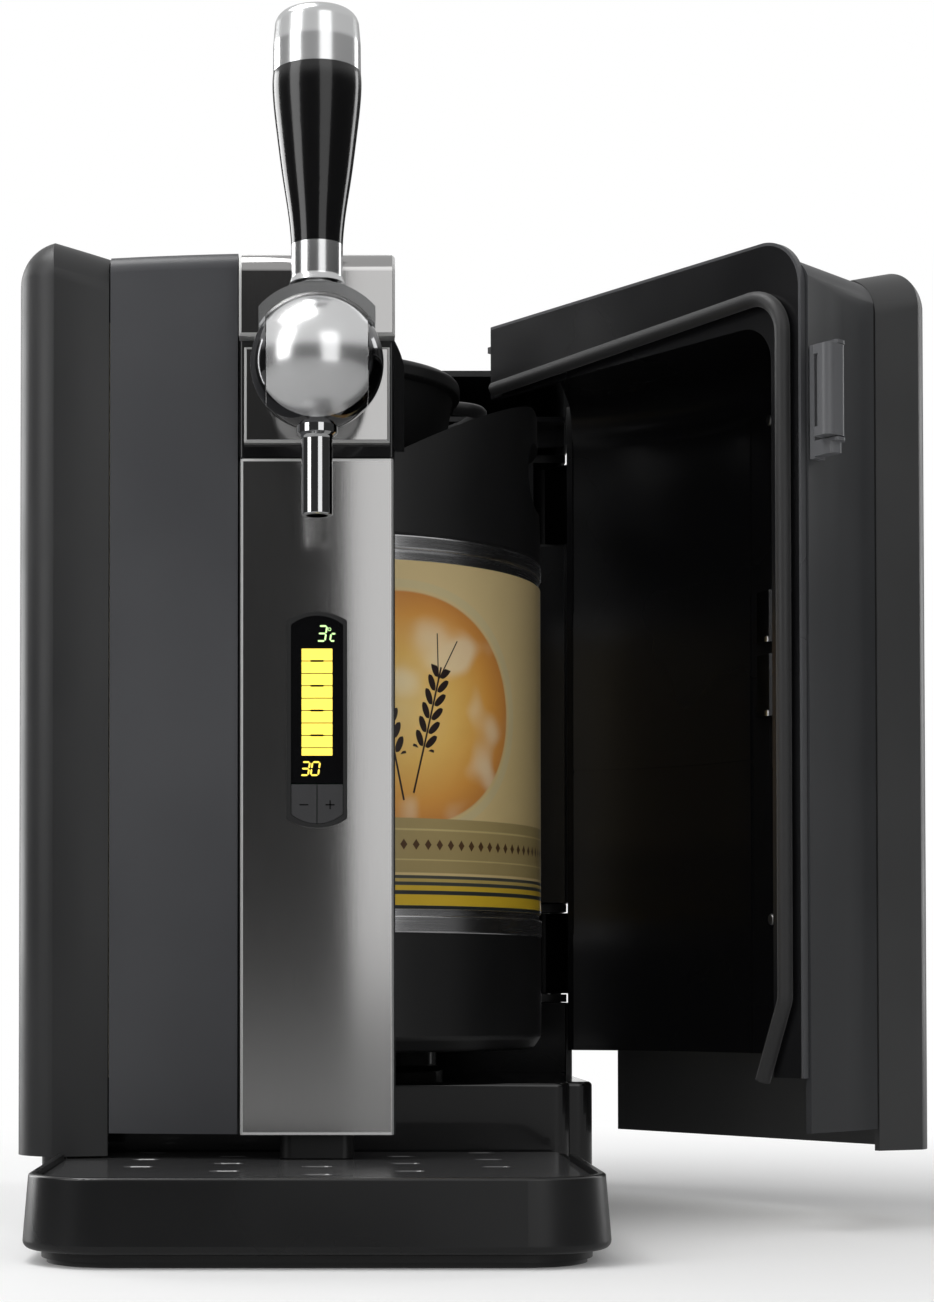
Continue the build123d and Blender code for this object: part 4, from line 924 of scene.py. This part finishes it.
# %% [markdown]
# ## The block of one cover
#
# A cover is trimmed by the block through its two stations, and a wing by what that block has in common
# with a domed one. The inset draws all of it in, for the inside of a wall.

# %% Trimming block
DOME_WIDTH = 80.0


def trimmer(first, last, radius, dome, inset):
    """The blocks that bound one cover, drawn in by an inset."""
    near, far = ((x, front + inset, top - inset) for x, front, top in (first, last))
    block = rolled_block(near, far, radius - inset)
    if dome:
        side, reach, front, top, corner_radius = dome
        ends = sorted((reach - side * inset, reach - side * DOME_WIDTH))
        low, high = (ends[0], front + inset), (ends[1], 0.0, top - inset)
        carve(block, domed_block(low, high, side, corner_radius - inset, radius - inset), "INTERSECT")
    return block


print("a domed corner is cut from", DOME_WIDTH, "mm")

# %% [markdown]
# ## The lining under a roll
#
# A moulded cover is a thin shell, and a roll that is wider than its wall would cut a hole in its corner.
# So a lining goes under the corner before it's trimmed: the convex hull of the corner, drawn in by a hair
# to stay under the shell, less the cover's block with the wall's thickness as inset, which keeps the
# cover hollow.

# %% Corner lining
COVER_WALL = 3.2
CORNER_BACK = -60.0
CORNER_FOOT = 330.0
LINING_SCALE = (0.988, 0.988, 0.996)


def bisect(place, normal):
    """Cut the mesh in edit mode with a plane, and drop what the normal points at."""
    bpy.ops.mesh.select_all(action="SELECT")
    bpy.ops.mesh.bisect(plane_co=place, plane_no=normal, clear_outer=True)


def corner_hull(piece, turn):
    """The hull of a cover's top front corner, drawn in by a hair."""
    hull = copy_of(piece)
    bpy.ops.object.mode_set(mode="EDIT")
    backward = Matrix.Rotation(turn, 3, "Z") @ Vector((0.0, 1.0, 0.0))
    bisect(turned((0.0, CORNER_BACK * MM, 0.0), turn), backward)
    bisect((0.0, 0.0, CORNER_FOOT * MM), (0.0, 0.0, -1.0))
    bpy.ops.mesh.select_all(action="SELECT")
    bpy.ops.mesh.convex_hull()
    bpy.ops.mesh.normals_make_consistent(inside=False)
    bpy.ops.object.mode_set(mode="OBJECT")
    places = [vertex.co for vertex in hull.data.vertices]
    middle = sum(places, Vector()) / len(places)
    bpy.ops.object.mode_set(mode="EDIT")
    bpy.ops.transform.resize(value=LINING_SCALE, center_override=middle)
    bpy.ops.object.mode_set(mode="OBJECT")
    return hull


print("wall under a roll:", COVER_WALL, "mm")

# %% [markdown]
# ## Rolling a cover
#
# The steps come together here: copy, stretch, line, trim and shade. The faces of a roll are shaded
# smooth, and edges of more than 30 degrees stay sharp. The result takes the place of the frame's part.

# %% Rolled cover
SHARP_EDGE = math.radians(30)


def rolled_cover(node, first, last, radius, finish, slot, body, turn, dome=None, lined=True, stretch=1.0):
    piece = copy_of(nodes[node])
    foot = (0.0, 0.0, min(vertex.co.z for vertex in piece.data.vertices))
    bpy.ops.object.mode_set(mode="EDIT")
    bpy.ops.transform.resize(value=(1.0, 1.0, stretch), center_override=foot)
    bpy.ops.object.mode_set(mode="OBJECT")
    if lined:
        lining = corner_hull(piece, turn)
        carve(lining, carry(trimmer(first, last, radius, dome, COVER_WALL), turn), "DIFFERENCE")
        carve(piece, lining, "UNION")
    carve(piece, carry(trimmer(first, last, radius, dome, 0.0), turn), "INTERSECT")
    bpy.ops.object.shade_smooth_by_angle(angle=SHARP_EDGE)
    finish_piece(piece, "rolled_" + node, finish, body)
    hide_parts(node)


print("edges stay sharp over", round(math.degrees(SHARP_EDGE)), "degrees")

# %% [markdown]
# ## The wings
#
# The two wings mirror each other, so one loop rolls both. The stretch raises them by two and a half
# millimetres over the panels beside them. The inner station of the door's wing lies a little further out
# than its panel, which opens the seam between them.

# %% Wings
WING_STRETCH = 1.0059
WING_ROLL = 20.0
DOOR_WING_INNER = (91.4, -115.2, 427.25)
LEFT_COVER_INNER = (70.5, -109.5, 422.5)
WING_OUTER = (150.5, -131.3, 440.7)
WING_REACH = 130.55
WING_FRONT = -121.65
WING_TOP = 433.05
WING_CORNER = 21.5

# The door's wing wears the paler shell, which is painted light.
for node, side, body, turn, finish, inner in (
    ("door_wing", 1, "door", OPEN_TURN, door_shell_painted_light, DOOR_WING_INNER),
    ("left_cover", -1, "cabinet", 0.0, dark_shell, LEFT_COVER_INNER),
):
    stations = sorted((side * x, front, top) for x, front, top in (inner, WING_OUTER))
    dome = (side, side * WING_REACH, WING_FRONT, WING_TOP, WING_CORNER)
    rolled_cover(node, *stations, WING_ROLL, finish, "dark_shell", body, turn, dome, stretch=WING_STRETCH)

# %% [markdown]
# ## The door's panel
#
# Between the wing and the flange, the door's grey panel has a roll of its own, a little tighter than the
# wings'. Its top is level, so its stations differ only in how far the front sweeps back.

# %% Door panel
PANEL_STATIONS = ((30.0, -124.2, 424.55), (100.0, -114.3, 424.55))
PANEL_ROLL = 16.0

# The door panel's paint is darkened, as painted shade.
rolled_cover("door_panel", *PANEL_STATIONS, PANEL_ROLL, door_paint_painted_shade, "grey_panel", "door", OPEN_TURN)

# %% [markdown]
# ## The flange and its rim
#
# The door's frame ends in a flange that stands up round the opening, with the widest roll of all. Its
# outer edge has a paler paint, a painted highlight that draws a light line round the dark frame. The line
# follows the roll, so it is a thin piece: the frame within one block, less the same block drawn in by the
# rim's width. The rest of the frame is trimmed by that smaller block.

# %% Flange and rim
FLANGE_ENDS = (20.0, 60.0)
FLANGE_FRONT = -120.55
FLANGE_TOP = 433.05
FLANGE_ROLL = 23.0
RIM_WIDTH = 1.4


def flange_stations(inset):
    return [(x, FLANGE_FRONT + inset, FLANGE_TOP - inset) for x in FLANGE_ENDS]


def flange_rim():
    """The flange's outer edge, in a paler paint that is a painted highlight."""
    rim = copy_of(nodes["door_frame"])
    whole = rolled_block(*flange_stations(0.0), FLANGE_ROLL)
    carve(rim, carry(whole, OPEN_TURN), "INTERSECT")
    inside = rolled_block(*flange_stations(RIM_WIDTH), FLANGE_ROLL - RIM_WIDTH)
    carve(rim, carry(inside, OPEN_TURN), "DIFFERENCE")
    bpy.ops.object.shade_smooth_by_angle(angle=SHARP_EDGE)
    finish_piece(rim, "flange_rim", rim_painted_highlight, "door")


def flange():
    """The frame inside its rim."""
    roll = FLANGE_ROLL - RIM_WIDTH
    stations = flange_stations(RIM_WIDTH)
    rolled_cover("door_frame", *stations, roll, inner_wall, "inner_wall", "door", OPEN_TURN, lined=False)


flange_rim()
flange()

# %% [markdown]
# ## The level bar
#
# A column of yellow cells shows how much beer is left. A thin dark line parts the cells, and a short
# thick dash marks every second line. Each cell is a thin block with its short edges eased, and the
# dashes are blocks of the display's black that lie a hair in front.

# %% Level bar
glass_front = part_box("display_glass")[0].y / MM
BAR_HALF_WIDTH = 6.6
BAR_LOW = 204.4
BAR_HIGH = 250.3
LINE_PITCH = 5.32
LINE_COUNT = 8
LINE_GAP = 0.38
LIT_DEPTH = 0.12
CELL_EASE = 0.2
DASH_HALF_SIZE = (2.9, 0.42)
DASH_PROUD = 0.04
DASH_SUNK = 0.01
DASH_EASE = 0.4


def runs_back(first, last):
    """A test for the short edges of a thin block, which run from its front to its back."""
    return abs(first.y - last.y) > HAIR


def eased_plate(low, high, ease):
    """A thin block with its short edges rounded."""
    plate = add_block(low, high)
    bevel_edges(plate, runs_back, ease, 2)
    return plate


def level_bar():
    lines = [BAR_HIGH - i * LINE_PITCH for i in range(1, LINE_COUNT + 1)]
    tops = [BAR_HIGH] + [z - LINE_GAP / 2 for z in lines]
    bottoms = [z + LINE_GAP / 2 for z in lines] + [BAR_LOW]
    cells = []
    for top, bottom in zip(tops, bottoms):
        low = (-BAR_HALF_WIDTH, glass_front - LIT_DEPTH, bottom)
        cells.append(eased_plate(low, (BAR_HALF_WIDTH, glass_front, top), CELL_EASE))
    finish_piece(join(cells), "level_bar", lit_yellow, "cabinet")
    dashes = []
    half_width, half_height = DASH_HALF_SIZE
    for z in lines[::2]:
        low = (-half_width, glass_front - LIT_DEPTH - DASH_PROUD, z - half_height)
        high = (half_width, glass_front - DASH_SUNK, z + half_height)
        dashes.append(eased_plate(low, high, DASH_EASE))
    finish_piece(join(dashes), "level_dashes", display_black, "cabinet")


level_bar()

# %% [markdown]
# ## One segment of a figure
#
# The temperature and the count of days are seven-segment figures that lean a little. A segment could be
# a flat face, but a thin block keeps a closed mesh. Its two ends are bevelled almost to a point.

# %% Segment
STROKE = 0.75
SEGMENT_GAP = 0.18
POINT_SHARE = 0.9


def segment(length, upright):
    """One bar of a figure, centred on the origin, with pointed ends."""
    half = length / 2 - SEGMENT_GAP
    wide = STROKE / 2
    size = (wide, half) if upright else (half, wide)
    bar = add_block((-size[0], -LIT_DEPTH, -size[1]), (size[0], 0.0, size[1]))
    axis = 2 if upright else 0

    def is_end(first, last):
        return runs_back(first, last) and abs(first[axis] - last[axis]) < HAIR

    bevel_edges(bar, is_end, wide * POINT_SHARE, 1)
    return bar


print("stroke of the figures:", STROKE, "mm")

# %% [markdown]
# ## The figures
#
# The segments of a figure have the letters that engineers give them, a to g, going round from the top,
# with g in the middle. One function places them by those letters. The degree sign is a small ring.

# %% Seven-segment figures
SEGMENTS = {
    "3": "abcdg",
    "0": "abcdef",
    "c": "deg",
}
LEAN = math.radians(8)
RING_PLACE = (5.35, 258.6)
RING_RADIUS = 0.62
RING_STROKE = 0.14


def figure(sign, left, bottom, width, height):
    """The lit segments of one figure."""
    places = {
        "a": (width / 2, height, False),
        "b": (width, height * 0.75, True),
        "c": (width, height * 0.25, True),
        "d": (width / 2, 0.0, False),
        "e": (0.0, height * 0.25, True),
        "f": (0.0, height * 0.75, True),
        "g": (width / 2, height / 2, False),
    }
    bars = []
    for letter in SEGMENTS[sign]:
        across, up, upright = places[letter]
        bar = segment(height / 2 if upright else width, upright)
        place = (left + across + up * math.tan(LEAN), glass_front, bottom + up)
        bar.location = [part * MM for part in place]
        bar.rotation_euler = (0.0, LEAN if upright else 0.0, 0.0)
        bars.append(bar)
    return bars


def degree_ring():
    """The small ring of the degree sign."""
    clear_selection()
    x, z = RING_PLACE
    bpy.ops.mesh.primitive_torus_add(
        location=(x * MM, (glass_front - LIT_DEPTH / 2) * MM, z * MM),
        rotation=(math.pi / 2, 0.0, 0.0),
        major_segments=24,
        minor_segments=6,
        major_radius=RING_RADIUS * MM,
        minor_radius=RING_STROKE * MM,
    )
    return bpy.context.object


print("signs that can be lit:", *SEGMENTS)

# %% [markdown]
# ## Temperature and days
#
# The upper figures give the temperature in degrees and the lower ones the days that the keg stays fresh.
# A row below holds a sign, its left edge and foot, and its width and height.

# %% Temperature and days
DEGREES = (("3", 0.1, 253.6, 3.3, 6.4), ("c", 5.6, 253.6, 2.1, 6.2))
DAYS = (("3", -7.0, 196.0, 3.2, 5.6), ("0", -2.7, 196.0, 3.2, 5.6))

degrees = [bar for sign in DEGREES for bar in figure(*sign)] + [degree_ring()]
finish_piece(join(degrees), "temperature_figures", lit_green, "cabinet")
days = [bar for sign in DAYS for bar in figure(*sign)]
finish_piece(join(days), "day_figures", lit_yellow, "cabinet")

# %% [markdown]
# ## Signs on the keys
#
# The two keys carry a minus and a plus in black. They are printed so thickly that they stand proud of
# the key, so they are thin blocks. Each sign moves with its key.

# %% Key signs
key_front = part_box("plus_button")[0].y / MM
SIGN_PLACE = (5.6, 183.3)
SIGN_HALF = 1.9
SIGN_STROKE = 0.28
SIGN_DEPTH = 0.06
SIGN_EASE = 0.12


def key_sign(side, name, body, crossed):
    x, z = side * SIGN_PLACE[0], SIGN_PLACE[1]
    arms = [(SIGN_HALF, SIGN_STROKE)]
    if crossed:
        arms.append((SIGN_STROKE, SIGN_HALF))
    blocks = []
    for across, up in arms:
        low = (x - across, key_front - SIGN_DEPTH, z - up)
        blocks.append(eased_plate(low, (x + across, key_front, z + up), SIGN_EASE))
    finish_piece(join(blocks), name, gloss_black, body)


key_sign(-1, "minus_sign", "minus_key", False)
key_sign(1, "plus_sign", "plus_key", True)

# %% [markdown]
# ## The floor
#
# The floor is a wide pale sheet. Near the dispenser it's ordinary paper, which takes the shadow. Further
# away an even white takes over, so that no horizon shows against the white behind it. The camera sees
# that white at full strength. In reflections it's much weaker, or it would wash out the dark plastic.

# %% Floor
FLOOR_SIZE = 14.0
NEAR_EDGE = 0.35
FAR_EDGE = 0.8
NEAR_SHARE = 0.06
MIRRORED_SHARE = 0.85
MIRRORED_LEVEL = 0.22


def pale_floor():
    clear_selection()
    bpy.ops.mesh.primitive_plane_add(size=FLOOR_SIZE, location=(0.0, 1.0, 0.0))
    bpy.ops.object.transform_apply(location=True, rotation=True, scale=True)
    floor = bpy.context.object
    floor.name = "floor"
    made = Finish("floor")
    x, y, _ = made.place()
    away = (x * x + y * y) ** 0.5
    white_share = made.step(away, NEAR_EDGE, FAR_EDGE, NEAR_SHARE, 1.0)
    made.set(Base_Color=(0.95, 0.95, 0.95, 1.0), Roughness=0.6, Specular_IOR_Level=0.1)
    seen = made.add("ShaderNodeLightPath", out="Is Camera Ray")
    glossy = made.add("ShaderNodeLightPath", out="Is Glossy Ray")
    white = made.add("ShaderNodeEmission", Strength=seen + glossy * MIRRORED_LEVEL)
    paper = Wire(made, made.shader.outputs[0])
    mixed = made.add("ShaderNodeMixShader", None, seen * white_share + glossy * MIRRORED_SHARE, paper, white)
    made.feed(made.tree.nodes["Material Output"].inputs["Surface"], mixed)
    floor.data.materials.append(made.material)
    print("floor:", FLOOR_SIZE, "m wide")


pale_floor()

# %% [markdown]
# ## The studio
#
# Smooth black plastic and chrome show whatever stands round them, so the studio is built for what they
# mirror. The camera itself sees only white. In reflections the wall straight behind is white, what
# stands to its left and right is almost black and draws the dark edges of the chrome, and the ceiling is
# a soft grey. All other light from the world is an even grey.

# %% World
DIFFUSE_LEVEL = 0.42
FLAG_LEVEL = 0.03
CEILING_LEVEL = 0.55
WALL_EDGE = (0.93, 0.985)
CEILING_EDGE = (0.27, 0.46)


def studio_world():
    world = bpy.data.worlds.new("studio")
    bpy.context.scene.world = world
    world.use_nodes = True
    made = NodeTree(world.node_tree)
    _, y, z = made.parts_of("Generated")
    wall = made.step(y, *WALL_EDGE)
    ceiling = made.step(z, *CEILING_EDGE) * CEILING_LEVEL
    reflected = wall * (1.0 - FLAG_LEVEL) + ceiling + FLAG_LEVEL
    seen, glossy = (made.add("ShaderNodeLightPath", out=name) for name in ("Is Camera Ray", "Is Glossy Ray"))
    level = seen + glossy * reflected + (1.0 - seen.larger(glossy)) * DIFFUSE_LEVEL
    background = made.tree.nodes["Background"]
    made.feed(background.inputs["Strength"], level)
    made.feed(background.inputs["Color"], (1.0, 1.0, 1.0, 1.0))
    print("light of the world:", DIFFUSE_LEVEL)


studio_world()

# %% [markdown]
# ## The lamps
#
# Two tall softboxes stand in front, one far to the left and one to the right of the camera. They make
# the pair of soft patches on the tap's ball. Two upright boxes behind the cabinet graze its sides, and
# one nearly overhead gives the shadow under the tray. A lamp's strength is given for each square metre,
# so a lamp can change its size and keep its brightness.

# %% Lamps
LAMP_AIM = (0.0, -0.1, 0.3)


def softbox(name, bearing, rise, distance, size, level):
    """A rectangular lamp aimed at the tap, at a bearing from straight in front and a rise, in degrees."""
    turn = math.radians(bearing)
    lift = math.radians(rise)
    data = bpy.data.lights.new(name, "AREA")
    data.shape = "RECTANGLE"
    data.size, data.size_y = size
    data.energy = level * math.pi * size[0] * size[1]
    lamp = bpy.data.objects.new(name, data)
    lamp.location = (
        LAMP_AIM[0] + distance * math.cos(lift) * math.sin(turn),
        LAMP_AIM[1] - distance * math.cos(lift) * math.cos(turn),
        LAMP_AIM[2] + distance * math.sin(lift),
    )
    lamp.rotation_euler = (math.radians(90.0) - lift, 0.0, turn)
    bpy.context.scene.collection.objects.link(lamp)


softbox("left_box", -57.0, 24.0, 1.6, (0.7, 1.3), 2.2)
softbox("right_box", 22.0, 17.0, 1.6, (0.8, 1.4), 0.98)
softbox("left_strip", -130.0, 6.0, 1.6, (0.8, 1.4), 3.8)
softbox("right_strip", 124.0, 6.0, 1.6, (0.4, 1.4), 2.4)
softbox("top_box", -80.0, 70.0, 1.8, (1.0, 1.0), 5.5)
print("lamps: 5")
